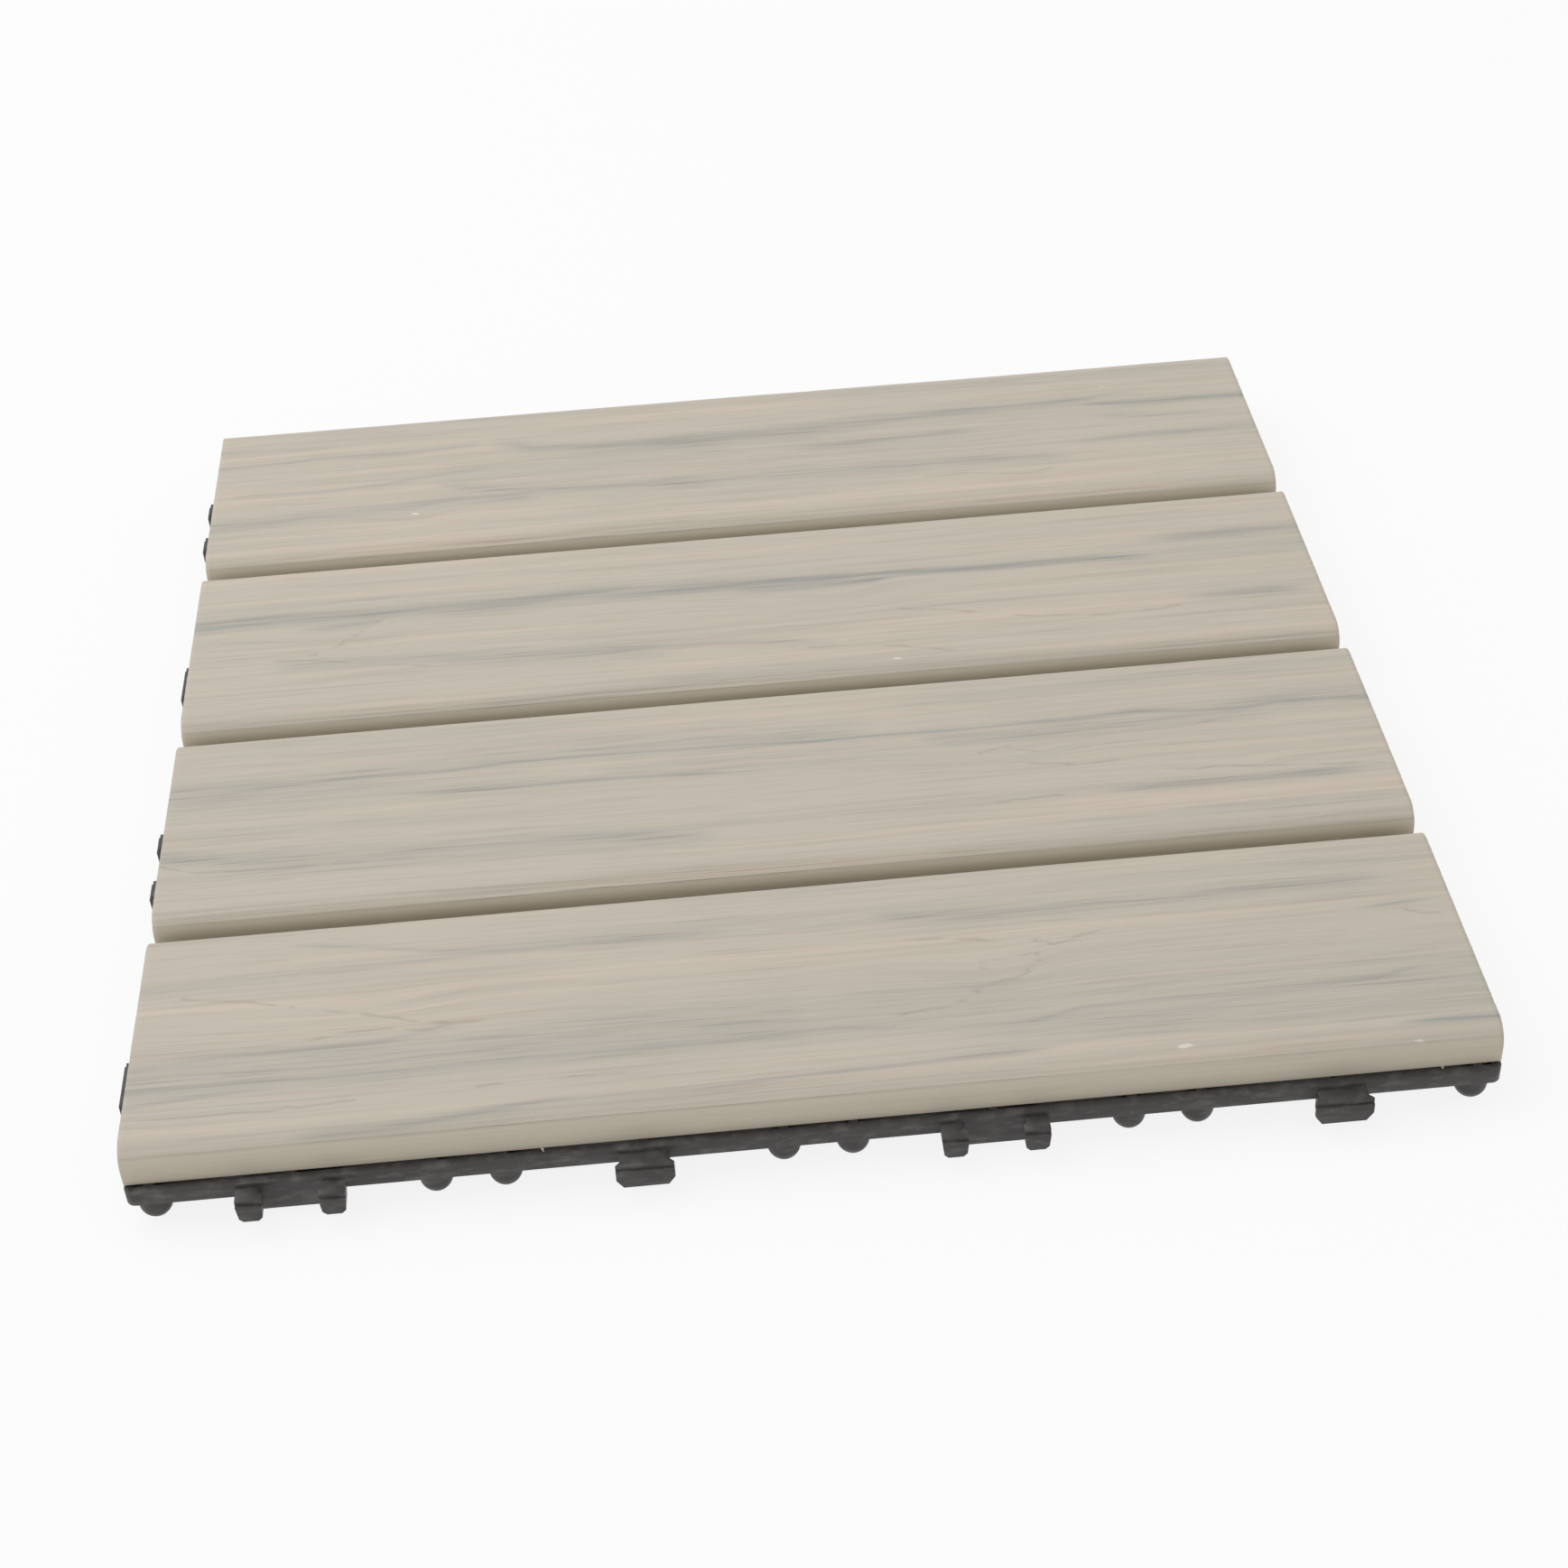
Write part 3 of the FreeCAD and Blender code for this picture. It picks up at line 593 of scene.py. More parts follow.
def chips(name, along, way):
    """1 where a nick has chipped the face, with a ragged edge."""
    chip = np.zeros_like(along)
    for board, nick_x, nick_y, size in NICKS:
        if board == name:
            away = np.hypot((along - nick_x) / (size * 1.5), (way - nick_y) / (size * 0.55))
            ragged = 0.5 * noise(along, way, (0.8, 0.5), BOARDS[name]["seed"] + 12)
            chip = np.maximum(chip, 1 - smooth(0.7, 1.0, away + ragged))
    return chip


def make_board(name, settings, material):
    """A board with its embossed face as real shape, and its grain as numbers on its points."""
    low, high = (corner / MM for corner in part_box(name))
    section = board_section(settings, (high.y - low.y) / 2, high.z - low.z)
    across, up = (np.array([point[item] for point in section]) for item in (0, 1))
    on_face = np.array([point[2] is not None for point in section])
    way = np.array([point[0] + point[1] if point[2] is None else point[2] for point in section])
    stations, inset, sawn = board_stations(settings, low.x, high.x)
    x, across_all = np.meshgrid(stations, across, indexing="ij")
    way_all = np.broadcast_to(way, x.shape)
    face_all = np.broadcast_to(on_face, x.shape)
    embossed = face_all * (1 - sawn[:, None])

    fields = grain(BOARDS[name], x, way_all)
    pores, swell = embossing(settings, BOARDS[name]["seed"], x, fields)
    reach = way[on_face].max()
    fade = (1 - smooth(reach - EMBOSSED_FADE, reach, np.abs(way_all))) * face_all
    fields.update(pore=pores * fade, embossed=embossed, chip=chips(name, x, way_all) * embossed,
                  sawn=np.broadcast_to(sawn[:, None], x.shape))

    drop = (settings.pore_depth * pores + settings.swell_depth * (1 - swell)) / MM * fade
    sink = drop + inset[:, None]
    normal_y, normal_z = section_normals(across, up)
    y = across_all - sink * normal_y + (low.y + high.y) / 2
    z = up - sink * normal_z + low.z
    points = np.stack([x, y, z], axis=-1) * MM
    counts = (len(stations), len(section))
    faces = side_faces(*counts) + end_faces(*counts)
    obj = new_mesh_object(f"{name}_embossed", points.reshape(-1, 3), faces)
    for field, values in fields.items():
        attribute = obj.data.attributes.new(field, "FLOAT", "POINT")
        attribute.data.foreach_set("value", np.ascontiguousarray(values, dtype=np.float32).ravel())
    shade_smooth(obj, 50)
    finish_piece(obj, material, "board_composite", name)


def make_slivers(material):
    """Thin curled slivers, each a tapered strip with a little thickness."""
    points, faces = [], []
    for root, heading in SLIVERS:
        root = Vector(root)
        heading = Vector(heading).normalized()
        aside = heading.cross(Vector((0, 0, 1))).normalized()
        curl = heading.cross(aside)
        strip = (SLIVER_STEPS, 4, len(points))
        for step in range(SLIVER_STEPS):
            share = step / (SLIVER_STEPS - 1)
            spot = root + heading * SLIVER_LENGTH * share - curl * SLIVER_CURL * share * share
            # Half the width and half the thickness, both less towards the tip
            half = 0.34 * (1 - share) + 0.04
            thin = 0.11 * (1 - share) + 0.03
            for sign, lift in ((-1, -1), (1, -1), (1, 1), (-1, 1)):
                points.append((spot + aside * half * sign + curl * thin * lift) * MM)
        faces += side_faces(*strip) + end_faces(*strip)
    obj = new_mesh_object("saw_slivers", points, faces)
    clean = bmesh.new()
    clean.from_mesh(obj.data)
    bmesh.ops.recalc_face_normals(clean, faces=clean.faces)
    clean.to_mesh(obj.data)
    clean.free()
    finish_piece(obj, material, "board_composite")


def composite_shares(tree):
    """The numbers that mix the composite's colours and shape its fine relief and gloss."""
    fields = ("flow", "blue", "mist", "cream", "ring", "pore", "embossed", "chip", "sawn")
    share = {name: add_node(tree, "ShaderNodeAttribute", {"attribute_name": name}).outputs["Fac"]
             for name in fields}
    place = add_node(tree, "ShaderNodeTexCoord").outputs["Object"]
    along = add_node(tree, "ShaderNodeSeparateXYZ", inputs={0: place}).outputs["X"]
    along = add_node(tree, "ShaderNodeMath", {"operation": "DIVIDE"}, {0: along, 1: MM}).outputs[0]
    share["grit"] = add_node(tree, "ShaderNodeTexNoise", inputs={
        "Vector": place, "Scale": 1 / (0.5 * MM), "Detail": 2.0}).outputs["Fac"]

    # Marks that run with the grain: their length and width in millimetres, and their detail
    marks = {"fibre": (60.0, 0.8, 3.0), "dash": (28.0, 0.55, 1.0), "patch": (50.0, 8.0, 1.0)}
    for name, (length_mm, width_mm, detail) in marks.items():
        x, y = (add_node(tree, "ShaderNodeMath", {"operation": "DIVIDE"}, {0: way, 1: size})
                for way, size in ((along, length_mm), (share["flow"], width_mm)))
        spot = add_node(tree, "ShaderNodeCombineXYZ", inputs={"X": x.outputs[0], "Y": y.outputs[0]})
        share[name] = add_node(tree, "ShaderNodeTexNoise", {"noise_dimensions": "2D"}, {
            "Vector": spot.outputs[0], "Scale": 1.0, "Detail": detail}).outputs["Fac"]

    # Dashes and patches start at one level of their noise and are full at the next
    levels = (("dash", 0.54, 0.74, 0.0, 1.0), ("patch", 0.38, 0.62, 0.1, 0.45))
    for name, start, full, least, most in levels:
        share[name] = add_node(tree, "ShaderNodeMapRange", inputs={
            "Value": share[name], "From Min": start, "From Max": full, "To Min": least,
            "To Max": most}).outputs[0]

    # Each row works out one share from numbers and from shares named above it
    for name, operation, *parts in (
            ("uneven", "SUBTRACT", "fibre", 0.5),
            # Dashes show in patches and wherever there is mist or blue
            ("haze", "MAXIMUM", "mist", "blue"),
            ("haze", "MAXIMUM", "patch", "haze"),
            ("line", "MULTIPLY", "dash", "haze"),
            # The fibres break up the mist, and more so the blue
            ("mist_break", "MULTIPLY_ADD", "uneven", 2.0, 1.0),
            ("mist_broken", "MULTIPLY", "mist", "mist_break"),
            ("thread", "MULTIPLY", "dash", 0.5),
            ("thread", "MULTIPLY", "thread", "mist"),
            ("blue_break", "MULTIPLY_ADD", "uneven", 3.0, 0.8),
            ("blue_broken", "MULTIPLY", "blue", "blue_break"),
            # Dashes, fibres, rings, pores and blue cores darken the face. The fibres, rings and
            # blue cores are the composite's own colour. The pores' darkening is painted shade in
            # their hollows. The dashes' darkening is partly their own dark colour and partly
            # painted shade in their grooves
            ("fibre_shade", "MULTIPLY", "uneven", -0.45),
            # Dashes: partly their own dark colour, partly painted shade in their grooves
            ("shade", "MULTIPLY_ADD", "line", 0.2, "fibre_shade"),
            ("ring_shade", "MULTIPLY", "ring", 0.25),
            ("shade", "ADD", "shade", "ring_shade"),
            # Painted shade: the pores are darkened as if shade lay in their hollows
            ("shade", "MULTIPLY_ADD", "pore", 0.07, "shade"),
            ("shade", "MULTIPLY_ADD", "blue_broken", 0.18, "shade"),
            ("side_shade", "MULTIPLY_ADD", "uneven", 0.3, 0.05),
            ("chip_grit", "MULTIPLY_ADD", "grit", 0.9, 0.35),
            ("chipped", "MULTIPLY", "chip", "chip_grit"),
            # The sides are nearly flat, and the pores are a little less glossy
            ("height", "MULTIPLY_ADD", "line", -0.8, "fibre"),
            ("pressed", "MULTIPLY_ADD", "embossed", 0.9, 0.1),
            ("height", "MULTIPLY", "height", "pressed"),
            ("height", "MULTIPLY_ADD", "grit", 0.15, "height"),
            ("roughness", "MULTIPLY_ADD", "pore", 0.16, 0.56)):
        inputs = {index: share.get(part, part) for index, part in enumerate(parts)}
        share[name] = add_node(tree, "ShaderNodeMath", {"operation": operation}, inputs).outputs[0]
    return share


def composite_material(settings):
    # Wood-plastic composite, extruded with a coloured skin and embossed by a hot roller: matt, with
    # soft streaks and fine dashes on the face, and smooth, faintly drawn sides. The pores, and in
    # part the dashes, are darkened with painted shade in their hollows. The sides' colour is made
    # paler in part with painted light. The real fibres are too fine to show in the render, so they
    # are drawn 0.55 to 0.8 mm wide, and the saw's grit at 0.5 mm.
    material, tree = new_material("composite_extruded_embossed")
    share = composite_shares(tree)
    names = ("beige", "cream", "mist", "grey", "side", "core")
    tint = {name: rgba(getattr(settings, name)) for name in names}
    # The dark tint is the beige halved. The face's darker tones, and its painted shade in the pores
    # and dashes, lean to it
    tint.update(dark=rgba(settings.beige, 0.5), sawn_dark=rgba(settings.side, 0.8))

    # Each row lays one colour over another by a share
    for name, factor, under, over in (
            ("face", "cream", "beige", "cream"),
            ("face", "mist_broken", "face", "mist"),
            ("face", "thread", "face", "grey"),
            ("face", "blue_broken", "face", "grey"),
            # Darker tones of the composite, with painted shade in the pores and dash grooves
            ("face", "shade", "face", "dark"),
            ("side", "side_shade", "side", "dark"),
            ("skin", "embossed", "side", "face"),
            ("cut", "grit", "sawn_dark", "beige"),
            ("skin", "sawn", "skin", "cut"),
            ("skin", "chipped", "skin", "core")):
        mixed = add_node(tree, "ShaderNodeMix", {"data_type": "RGBA"}, {
            MIX_FACTOR: share[factor], MIX_UNDER: tint[under], MIX_OVER: tint[over]})
        tint[name] = mixed.outputs[MIX_RESULT]

    bump = add_node(tree, "ShaderNodeBump", inputs={
        "Strength": 0.9, "Distance": 0.16 * MM, "Height": share["height"]})
    shader = add_node(tree, "ShaderNodeBsdfPrincipled", inputs={
        "IOR": 1.48, "Specular IOR Level": 0.4, "Base Color": tint["skin"],
        "Roughness": share["roughness"], "Normal": bump.outputs[0]})
    add_node(tree, "ShaderNodeOutputMaterial", inputs={0: shader.outputs[0]})
    return material


# Moulded grid base


def plastic_material(settings):
    # Polypropylene, injection moulded in a lightly eroded tool: charcoal, with a low sheen,
    # faint cloudy flow marks and level scuffs. The tool's grain is too fine to show in the
    # render, so it is drawn with cells of 0.35 mm.
    material, tree = new_material("polypropylene_moulded")
    place = add_node(tree, "ShaderNodeTexCoord").outputs["Object"]
    level = add_node(tree, "ShaderNodeMapping", inputs={
        "Vector": place, "Scale": (0.35, 0.35, 1.0)}).outputs[0]
    cloud, tool_grain, scuff = (
        add_node(tree, "ShaderNodeTexNoise", inputs={
            "Vector": vector, "Scale": 1 / (cell * MM), "Detail": detail}).outputs["Fac"]
        for vector, cell, detail in ((place, 14, 3.0), (place, 0.35, 2.0), (level, 1.4, 5.0)))
    worn = add_node(tree, "ShaderNodeMapRange", inputs={
        "Value": scuff, "From Min": 0.47, "From Max": 0.75, "To Max": 0.42}).outputs[0]
    base = add_node(tree, "ShaderNodeMix", {"data_type": "RGBA"}, {
        MIX_FACTOR: cloud, MIX_UNDER: rgba(settings.plastic, 0.7),
        MIX_OVER: rgba(settings.plastic, 1.25)}).outputs[MIX_RESULT]
    base = add_node(tree, "ShaderNodeMix", {"data_type": "RGBA"}, {
        MIX_FACTOR: worn, MIX_UNDER: base, MIX_OVER: rgba(settings.scuffed)}).outputs[MIX_RESULT]
    roughness = add_node(tree, "ShaderNodeMath", {"operation": "MULTIPLY_ADD"}, {
        0: cloud, 1: 0.2, 2: 0.38})
    bump = add_node(tree, "ShaderNodeBump", inputs={
        "Strength": 0.35, "Distance": 0.05 * MM, "Height": tool_grain})
    shader = add_node(tree, "ShaderNodeBsdfPrincipled", inputs={
        "IOR": 1.49, "Specular IOR Level": 0.5, "Base Color": base,
        "Roughness": roughness.outputs[0], "Normal": bump.outputs[0]})
    add_node(tree, "ShaderNodeOutputMaterial", inputs={0: shader.outputs[0]})
    return material


def soften(obj, width):
    """Round every sharp edge of a piece by a mould's small radius."""
    bevel = obj.modifiers.new("mould_radius", "BEVEL")
    bevel.width = width
    bevel.segments = 2
    bevel.limit_method = "ANGLE"
    bevel.angle_limit = math.radians(38)
    bevel.harden_normals = True
    bevel.miter_outer = "MITER_ARC"
    obj.data.polygons.foreach_set("use_smooth", [True] * len(obj.data.polygons))


def tuck_feet(mesh, settings):
    """Draw the ends of the solid's plain feet in, so that the rounded feet cover them: the flat
    end to less than half its size, and the ring above it up into the foot."""
    first = (settings.modules - 1) / 2 * settings.pitch
    for vert in mesh.verts:
        if vert.co.z > FOOT_TUCK_BELOW:
            continue
        module = [round((place + first) / settings.pitch) * settings.pitch - first
                  for place in vert.co.xy]
        foot = Vector([middle + math.copysign(settings.foot_spacing / 2, place - middle)
                       for middle, place in zip(module, vert.co.xy)])
        share, lift = (0.4, 0.0) if vert.co.z < FOOT_FLAT_BELOW else (0.96, 1.2 * MM)
        vert.co.xy = foot + (vert.co.xy - foot) * share
        vert.co.z += lift


def make_grid(settings, material):
    """The grid with its connectors: the solid's own mesh, merged, with its edges softened."""
    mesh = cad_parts["base_grid"].data.copy()
    clean = bmesh.new()
    clean.from_mesh(mesh)
    bmesh.ops.remove_doubles(clean, verts=clean.verts, dist=0.001 * MM)
    # Only pairs of triangles are joined: a large face with windows in it would hide them
    bmesh.ops.join_triangles(clean, faces=clean.faces, angle_face_threshold=math.radians(0.6),
                             angle_shape_threshold=math.pi)
    tuck_feet(clean, settings)
    clean.to_mesh(mesh)
    clean.free()
    obj = bpy.data.objects.new("base_moulded", mesh)
    bpy.context.scene.collection.objects.link(obj)
    soften(obj, settings.softness)
    finish_piece(obj, material, "base_plastic", "base_grid")


def foot_tree(material, sizes):
    """Round feet with flared roots and rounded ends, four to a module, on a square of modules."""
    tree, given, result = new_tree("flared_feet", sizes)
    number = {name: given[name] for name in sizes}
    last = add_node(tree, "ShaderNodeMath", {"operation": "SUBTRACT"}, {
        0: given["modules"], 1: 1.0})
    span = add_node(tree, "ShaderNodeMath", {"operation": "MULTIPLY"}, {
        0: last.outputs[0], 1: given["pitch"]})
    modules = add_node(tree, "GeometryNodeMeshGrid", inputs={
        "Size X": span.outputs[0], "Size Y": span.outputs[0],
        "Vertices X": given["modules"], "Vertices Y": given["modules"]})
    corners = add_node(tree, "GeometryNodeMeshGrid", inputs={
        "Size X": given["foot_spacing"], "Size Y": given["foot_spacing"],
        "Vertices X": 2, "Vertices Y": 2})
    spots = add_node(tree, "GeometryNodeInstanceOnPoints", inputs={
        "Points": modules.outputs["Mesh"], "Instance": corners.outputs["Mesh"]})
    spots = add_node(tree, "GeometryNodeRealizeInstances", inputs={0: spots.outputs[0]})
    foot = add_node(tree, "GeometryNodeMeshCone", inputs={
        "Vertices": 28, "Side Segments": 16, "Radius Top": given["foot_radius"],
        "Radius Bottom": given["foot_radius"], "Depth": given["foot_height"]})
    place = add_node(tree, "GeometryNodeInputPosition")
    parts = add_node(tree, "ShaderNodeSeparateXYZ", inputs={0: place.outputs[0]}).outputs
    number["height"] = parts["Z"]

    # Each row works out one number: how much a foot widens towards its root, and how far its
    # lowest part draws in, as a ball does
    for name, operation, *values in (
            ("rise", "DIVIDE", "height", "foot_height"),
            ("rise", "POWER", "rise", 1.6),
            ("flare", "DIVIDE", "root_radius", "foot_radius"),
            ("flare", "SUBTRACT", "flare", 1.0),
            ("widen", "MULTIPLY", "rise", "flare"),
            ("low", "DIVIDE", "height", "end_height"),
            ("low", "SUBTRACT", 1.0, "low"),
            ("low", "MAXIMUM", "low", 0.0),
            ("ball", "MULTIPLY", "low", "low"),
            ("ball", "MULTIPLY_ADD", "ball", -0.9, 1.0),
            ("ball", "SQRT", "ball"),
            ("ball", "SUBTRACT", "ball", 1.0),
            ("widen", "ADD", "widen", "ball")):
        inputs = {index: number.get(value, value) for index, value in enumerate(values)}
        number[name] = add_node(tree, "ShaderNodeMath", {"operation": operation}, inputs).outputs[0]

    flat = add_node(tree, "ShaderNodeCombineXYZ", inputs={"X": parts["X"], "Y": parts["Y"]})
    offset = add_node(tree, "ShaderNodeVectorMath", {"operation": "SCALE"}, {
        0: flat.outputs[0], "Scale": number["widen"]})
    flared = add_node(tree, "GeometryNodeSetPosition", inputs={
        "Geometry": foot.outputs["Mesh"], "Offset": offset.outputs[0]})
    feet = add_node(tree, "GeometryNodeInstanceOnPoints", inputs={
        "Points": spots.outputs[0], "Instance": flared.outputs[0]})
    feet = add_node(tree, "GeometryNodeRealizeInstances", inputs={0: feet.outputs[0]})
    done = add_node(tree, "GeometryNodeSetMaterial", inputs={
        "Geometry": feet.outputs[0], "Material": material})
    tree.links.new(done.outputs[0], result[0])
    return tree


def make_feet(settings, material):
    """The rounded feet, over the ends of the solid's plain ones."""
    names = ("pitch", "modules", "foot_spacing", "foot_radius", "root_radius", "foot_height",
             "end_height")
    sizes = {name: getattr(settings, name) for name in names}
    obj = new_mesh_object("base_feet", [(0, 0, 0)], [])
    grow(obj, foot_tree(material, sizes), sizes)
    soften(obj, settings.softness)
    finish_piece(obj, material, "base_plastic")


# Screws


def steel_material(settings):
    # Stainless steel, cold headed and tumbled: bright, a little clouded, with random marks. The
    # real marks are too fine to show in the render, so they are drawn with cells of 1.2 mm.
    material, tree = new_material("stainless_cold_headed")
    place = add_node(tree, "ShaderNodeTexCoord").outputs["Object"]
    cloud = add_node(tree, "ShaderNodeTexNoise", inputs={
        "Vector": place, "Scale": 1 / (1.2 * MM), "Detail": 3.0}).outputs["Fac"]
    base = add_node(tree, "ShaderNodeMix", {"data_type": "RGBA"}, {
        MIX_FACTOR: cloud, MIX_UNDER: rgba(settings.steel, 0.85), MIX_OVER: rgba(settings.steel)})
    roughness = add_node(tree, "ShaderNodeMath", {"operation": "MULTIPLY_ADD"}, {
        0: cloud, 1: 0.25, 2: 0.22})
    bump = add_node(tree, "ShaderNodeBump", inputs={
        "Strength": 0.2, "Distance": 0.03 * MM, "Height": cloud})
    shader = add_node(tree, "ShaderNodeBsdfPrincipled", inputs={
        "Metallic": 1.0, "Base Color": base.outputs[MIX_RESULT],
        "Roughness": roughness.outputs[0], "Normal": bump.outputs[0]})
    add_node(tree, "ShaderNodeOutputMaterial", inputs={0: shader.outputs[0]})
    return material


def screw_mesh(settings, low, high):
    """One pan-head screw with its axis at the origin, turned from a profile of radius, height
    and share of the full thread, in millimetres."""
    head = settings.head_radius / MM
    depth = settings.thread_depth / MM
    pitch = settings.thread_pitch / MM
    core = settings.shank_radius / MM - depth
    seat = low + HEAD_HEIGHT
    # The head from its face to its seat, and the plain neck
    profile = [(head - 0.9, low, 0), (head - 0.35, low + 0.12, 0), (head - 0.08, low + 0.4, 0),
               (head, low + 0.8, 0), (head, seat - 0.25, 0), (head - 0.15, seat, 0),
               (core, seat, 0), (core, seat + 0.8, 0)]
    # The thread grows over its first turn and runs out over its last six rings
    rings = round((high - seat - THREAD_START - POINT_LENGTH) / pitch * RINGS_A_TURN)
    for ring in range(rings + 1):
        z = seat + THREAD_START + ring * pitch / RINGS_A_TURN
        profile.append((core, z, min(1.0, ring / RINGS_A_TURN, (rings - ring) / 6)))
    profile.append((0.45, high - 0.35, 0))
    points = []
    count = settings.segments
    for radius, z, thread in profile:
        for index in range(count):
            angle = 2 * math.pi * index / count
            phase = (z / pitch - index / count) % 1.0
            crest = radius + max(0.0, 1 - abs(phase - 0.5) * 4) * thread * depth
            points.append(Vector((crest * math.cos(angle), crest * math.sin(angle), z)) * MM)
    faces = side_faces(len(profile), count)
    start = (len(profile) - 1) * count
    tip = len(points)
    points.append(Vector((0, 0, high)) * MM)
    faces += [(start + index, start + (index + 1) % count, tip) for index in range(count)]
    faces.append(tuple(reversed(range(count))))
    return points, faces


def screw_tree(material, sizes):
    """Cut the cross recess into one screw, then set one at each point of the tile's grid."""
    tree, given, result = new_tree("screw_rows", sizes)
    place = add_node(tree, "ShaderNodeCombineXYZ", inputs={"Z": given["head_face"]})
    # The arms stand half outside the head, so they are twice as tall as the recess is deep
    tall = add_node(tree, "ShaderNodeMath", {"operation": "MULTIPLY"}, {
        0: given["recess_depth"], 1: 2.0})
    cut = add_node(tree, "GeometryNodeMeshBoolean", {"operation": "DIFFERENCE", "solver": "EXACT"},
                   {0: given["Geometry"]})
    for long, short in (("X", "Y"), ("Y", "X")):
        size = add_node(tree, "ShaderNodeCombineXYZ", inputs={
            long: given["recess_width"], short: given["recess_arm"], "Z": tall.outputs[0]})
        arm = add_node(tree, "GeometryNodeMeshCube", inputs={"Size": size.outputs[0]})
        arm = add_node(tree, "GeometryNodeTransform", inputs={
            "Geometry": arm.outputs["Mesh"], "Translation": place.outputs[0]})
        tree.links.new(arm.outputs[0], cut.inputs[1])
    points = add_node(tree, "GeometryNodeMeshGrid", inputs={
        "Size X": given["spacing"], "Size Y": given["spacing"],
        "Vertices X": 2, "Vertices Y": given["rows"]})
    screws = add_node(tree, "GeometryNodeInstanceOnPoints", inputs={
        "Points": points.outputs["Mesh"], "Instance": cut.outputs[0]})
    screws = add_node(tree, "GeometryNodeRealizeInstances", inputs={0: screws.outputs[0]})
    done = add_node(tree, "GeometryNodeSetMaterial", inputs={
        "Geometry": screws.outputs[0], "Material": material})
    tree.links.new(done.outputs[0], result[0])
    return tree


def make_screws(settings, material):
    """The screws, from the bosses up into the boards."""
    low, high = (corner.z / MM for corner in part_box("fixing_screws"))
    names = ("recess_width", "recess_arm", "recess_depth", "spacing", "rows")
    sizes = {"head_face": low * MM, **{name: getattr(settings, name) for name in names}}
    obj = new_mesh_object("screws_pan_head", *screw_mesh(settings, low, high))
    grow(obj, screw_tree(material, sizes), sizes)
    shade_smooth(obj, 42)
    finish_piece(obj, material, "screw_steel", "fixing_screws")


# Stage


def background_seen(tree):
    """1 where the camera, a reflection or something clear sees the background, and 0 elsewhere."""
    path = add_node(tree, "ShaderNodeLightPath").outputs
    other = add_node(tree, "ShaderNodeMath", {"operation": "MAXIMUM"}, {
        0: path["Is Glossy Ray"], 1: path["Is Transmission Ray"]})
    return add_node(tree, "ShaderNodeMath", {"operation": "MAXIMUM"}, {
        0: path["Is Camera Ray"], 1: other.outputs[0]}).outputs[0]


def make_floor(settings):
    """A pale floor, whitened where it is seen, that keeps the shadow and is clear from beneath."""
    half = settings.floor_size / 2
    corners = [(-half, -half, 0), (half, -half, 0), (half, half, 0), (-half, half, 0)]
    floor = new_mesh_object("floor", corners, [(0, 1, 2, 3)])
    material, tree = new_material("floor_pale")
    whitened = add_node(tree, "ShaderNodeMath", {"operation": "MULTIPLY"}, {
        0: background_seen(tree), 1: FLOOR_WHITE})
    pale = add_node(tree, "ShaderNodeBsdfDiffuse", inputs={"Color": rgba(settings.floor)})
    white = add_node(tree, "ShaderNodeEmission", inputs={
        "Color": rgba(linear(WHITE)), "Strength": 1.0})
    mixed = add_node(tree, "ShaderNodeMixShader", inputs={
        0: whitened.outputs[0], 1: pale.outputs[0], 2: white.outputs[0]})
    under = add_node(tree, "ShaderNodeNewGeometry").outputs["Backfacing"]
    clear = add_node(tree, "ShaderNodeBsdfTransparent")
    mixed = add_node(tree, "ShaderNodeMixShader", inputs={
        0: under, 1: mixed.outputs[0], 2: clear.outputs[0]})
    add_node(tree, "ShaderNodeOutputMaterial", inputs={0: mixed.outputs[0]})
    floor.data.materials.append(material)


def make_light(settings):
    """Even light all round, seen as white, and one large soft lamp overhead."""
    scene = bpy.context.scene
    world = bpy.data.worlds.new("studio")
    scene.world = world
    world.use_nodes = True
    tree = world.node_tree
    tree.nodes.clear()
    even, white = (
        add_node(tree, "ShaderNodeBackground", inputs={
            "Color": rgba(linear(WHITE)), "Strength": strength}).outputs[0]
        for strength in (settings.sky, 1.0))
    mixed = add_node(tree, "ShaderNodeMixShader", inputs={
        0: background_seen(tree), 1: even, 2: white})
    add_node(tree, "ShaderNodeOutputWorld", inputs={0: mixed.outputs[0]})

    lamp = bpy.data.lights.new("soft_lamp", "AREA")
    lamp.shape = "SQUARE"
    lamp.size = settings.lamp_size
    lamp.energy = settings.lamp_power
    holder = bpy.data.objects.new("soft_lamp", lamp)
    holder.location = LAMP_PLACE
    # The lamp points at the tile's middle
    holder.rotation_euler = (-holder.location).to_track_quat("-Z", "Y").to_euler()
    scene.collection.objects.link(holder)


def make_camera():
    """The camera at the photograph's angle."""
    scene = bpy.context.scene
    lens = bpy.data.cameras.new("camera")
    lens.sensor_width = SENSOR
    lens.lens = CAMERA_LENS
    lens.clip_start = 0.01
    lens.clip_end = 50.0
    camera = bpy.data.objects.new("camera", lens)
    camera.location = Vector(CAMERA_PLACE) * MM
    camera.rotation_euler = [math.radians(angle) for angle in CAMERA_TURN]
    scene.collection.objects.link(camera)
    scene.camera = camera


# Operators and panel


class DECKTILE_OT_stage(bpy.types.Operator):
    """Set the floor, the light and the camera"""
    bl_idname = "decktile.stage"
    bl_label = "Stage"

    def execute(self, context):
        settings = context.scene.tile_stage
        context.scene.view_settings.view_transform = "Standard"
        make_floor(settings)
        make_light(settings)
        make_camera()
        return {"FINISHED"}


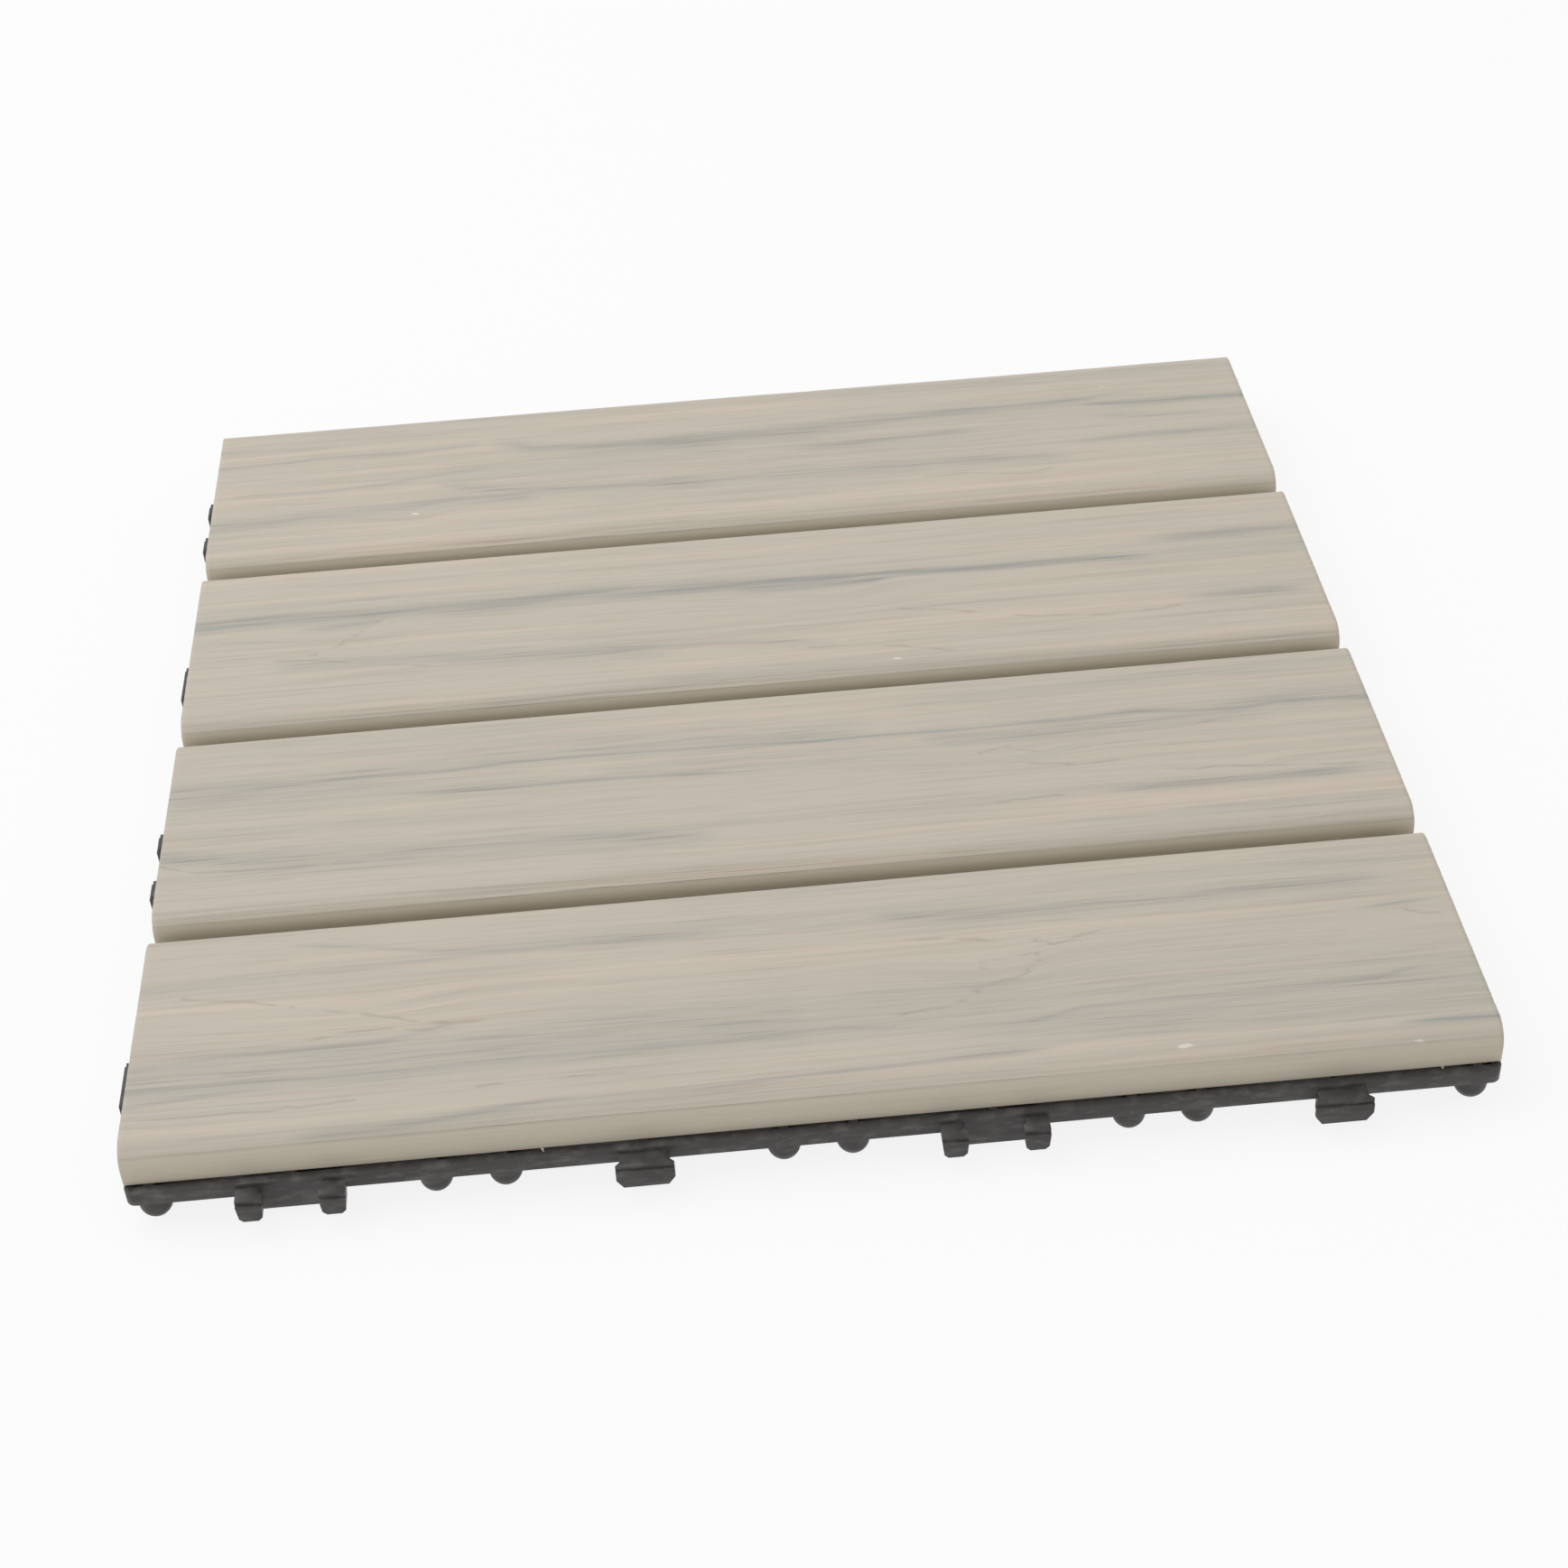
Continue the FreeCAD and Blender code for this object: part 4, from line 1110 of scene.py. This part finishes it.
class DECKTILE_OT_boards(bpy.types.Operator):
    """Make the four embossed boards and the slivers on their edges"""
    bl_idname = "decktile.boards"
    bl_label = "Boards"

    def execute(self, context):
        settings = context.scene.tile_boards
        material = composite_material(settings)
        for name in BOARDS:
            make_board(name, settings, material)
        make_slivers(material)
        return {"FINISHED"}


class DECKTILE_OT_base(bpy.types.Operator):
    """Make the moulded grid base and its feet"""
    bl_idname = "decktile.base"
    bl_label = "Base"

    def execute(self, context):
        settings = context.scene.tile_base
        material = plastic_material(settings)
        make_grid(settings, material)
        make_feet(settings, material)
        return {"FINISHED"}


class DECKTILE_OT_screws(bpy.types.Operator):
    """Make the screws that hold the boards from beneath"""
    bl_idname = "decktile.screws"
    bl_label = "Screws"

    def execute(self, context):
        settings = context.scene.tile_screws
        make_screws(settings, steel_material(settings))
        return {"FINISHED"}


OPERATORS = (DECKTILE_OT_stage, DECKTILE_OT_boards, DECKTILE_OT_base, DECKTILE_OT_screws)
SETTINGS = {
    "tile_stage": StageSettings,
    "tile_boards": BoardSettings,
    "tile_base": BaseSettings,
    "tile_screws": ScrewSettings,
}


class DECKTILE_PT_panel(bpy.types.Panel):
    """Lists the pieces of the tile with their sizes and colours"""
    bl_idname = "DECKTILE_PT_panel"
    bl_label = "Deck tile"
    bl_space_type = "VIEW_3D"
    bl_region_type = "UI"
    bl_category = "Deck tile"

    def draw(self, context):
        for operator, holder in zip(OPERATORS, SETTINGS):
            box = self.layout.box()
            box.operator(operator.bl_idname)
            settings = getattr(context.scene, holder)
            for name in SETTINGS[holder].__annotations__:
                box.prop(settings, name)


CLASSES = (*SETTINGS.values(), *OPERATORS, DECKTILE_PT_panel)


def register():
    for item in CLASSES:
        bpy.utils.register_class(item)
    for holder, group in SETTINGS.items():
        setattr(bpy.types.Scene, holder, PointerProperty(type=group))


def unregister():
    for holder in SETTINGS:
        delattr(bpy.types.Scene, holder)
    for item in reversed(CLASSES):
        bpy.utils.unregister_class(item)


def main():
    register()
    bpy.ops.decktile.stage()
    bpy.ops.decktile.boards()
    bpy.ops.decktile.base()
    bpy.ops.decktile.screws()


if __name__ == "__main__":
    main()
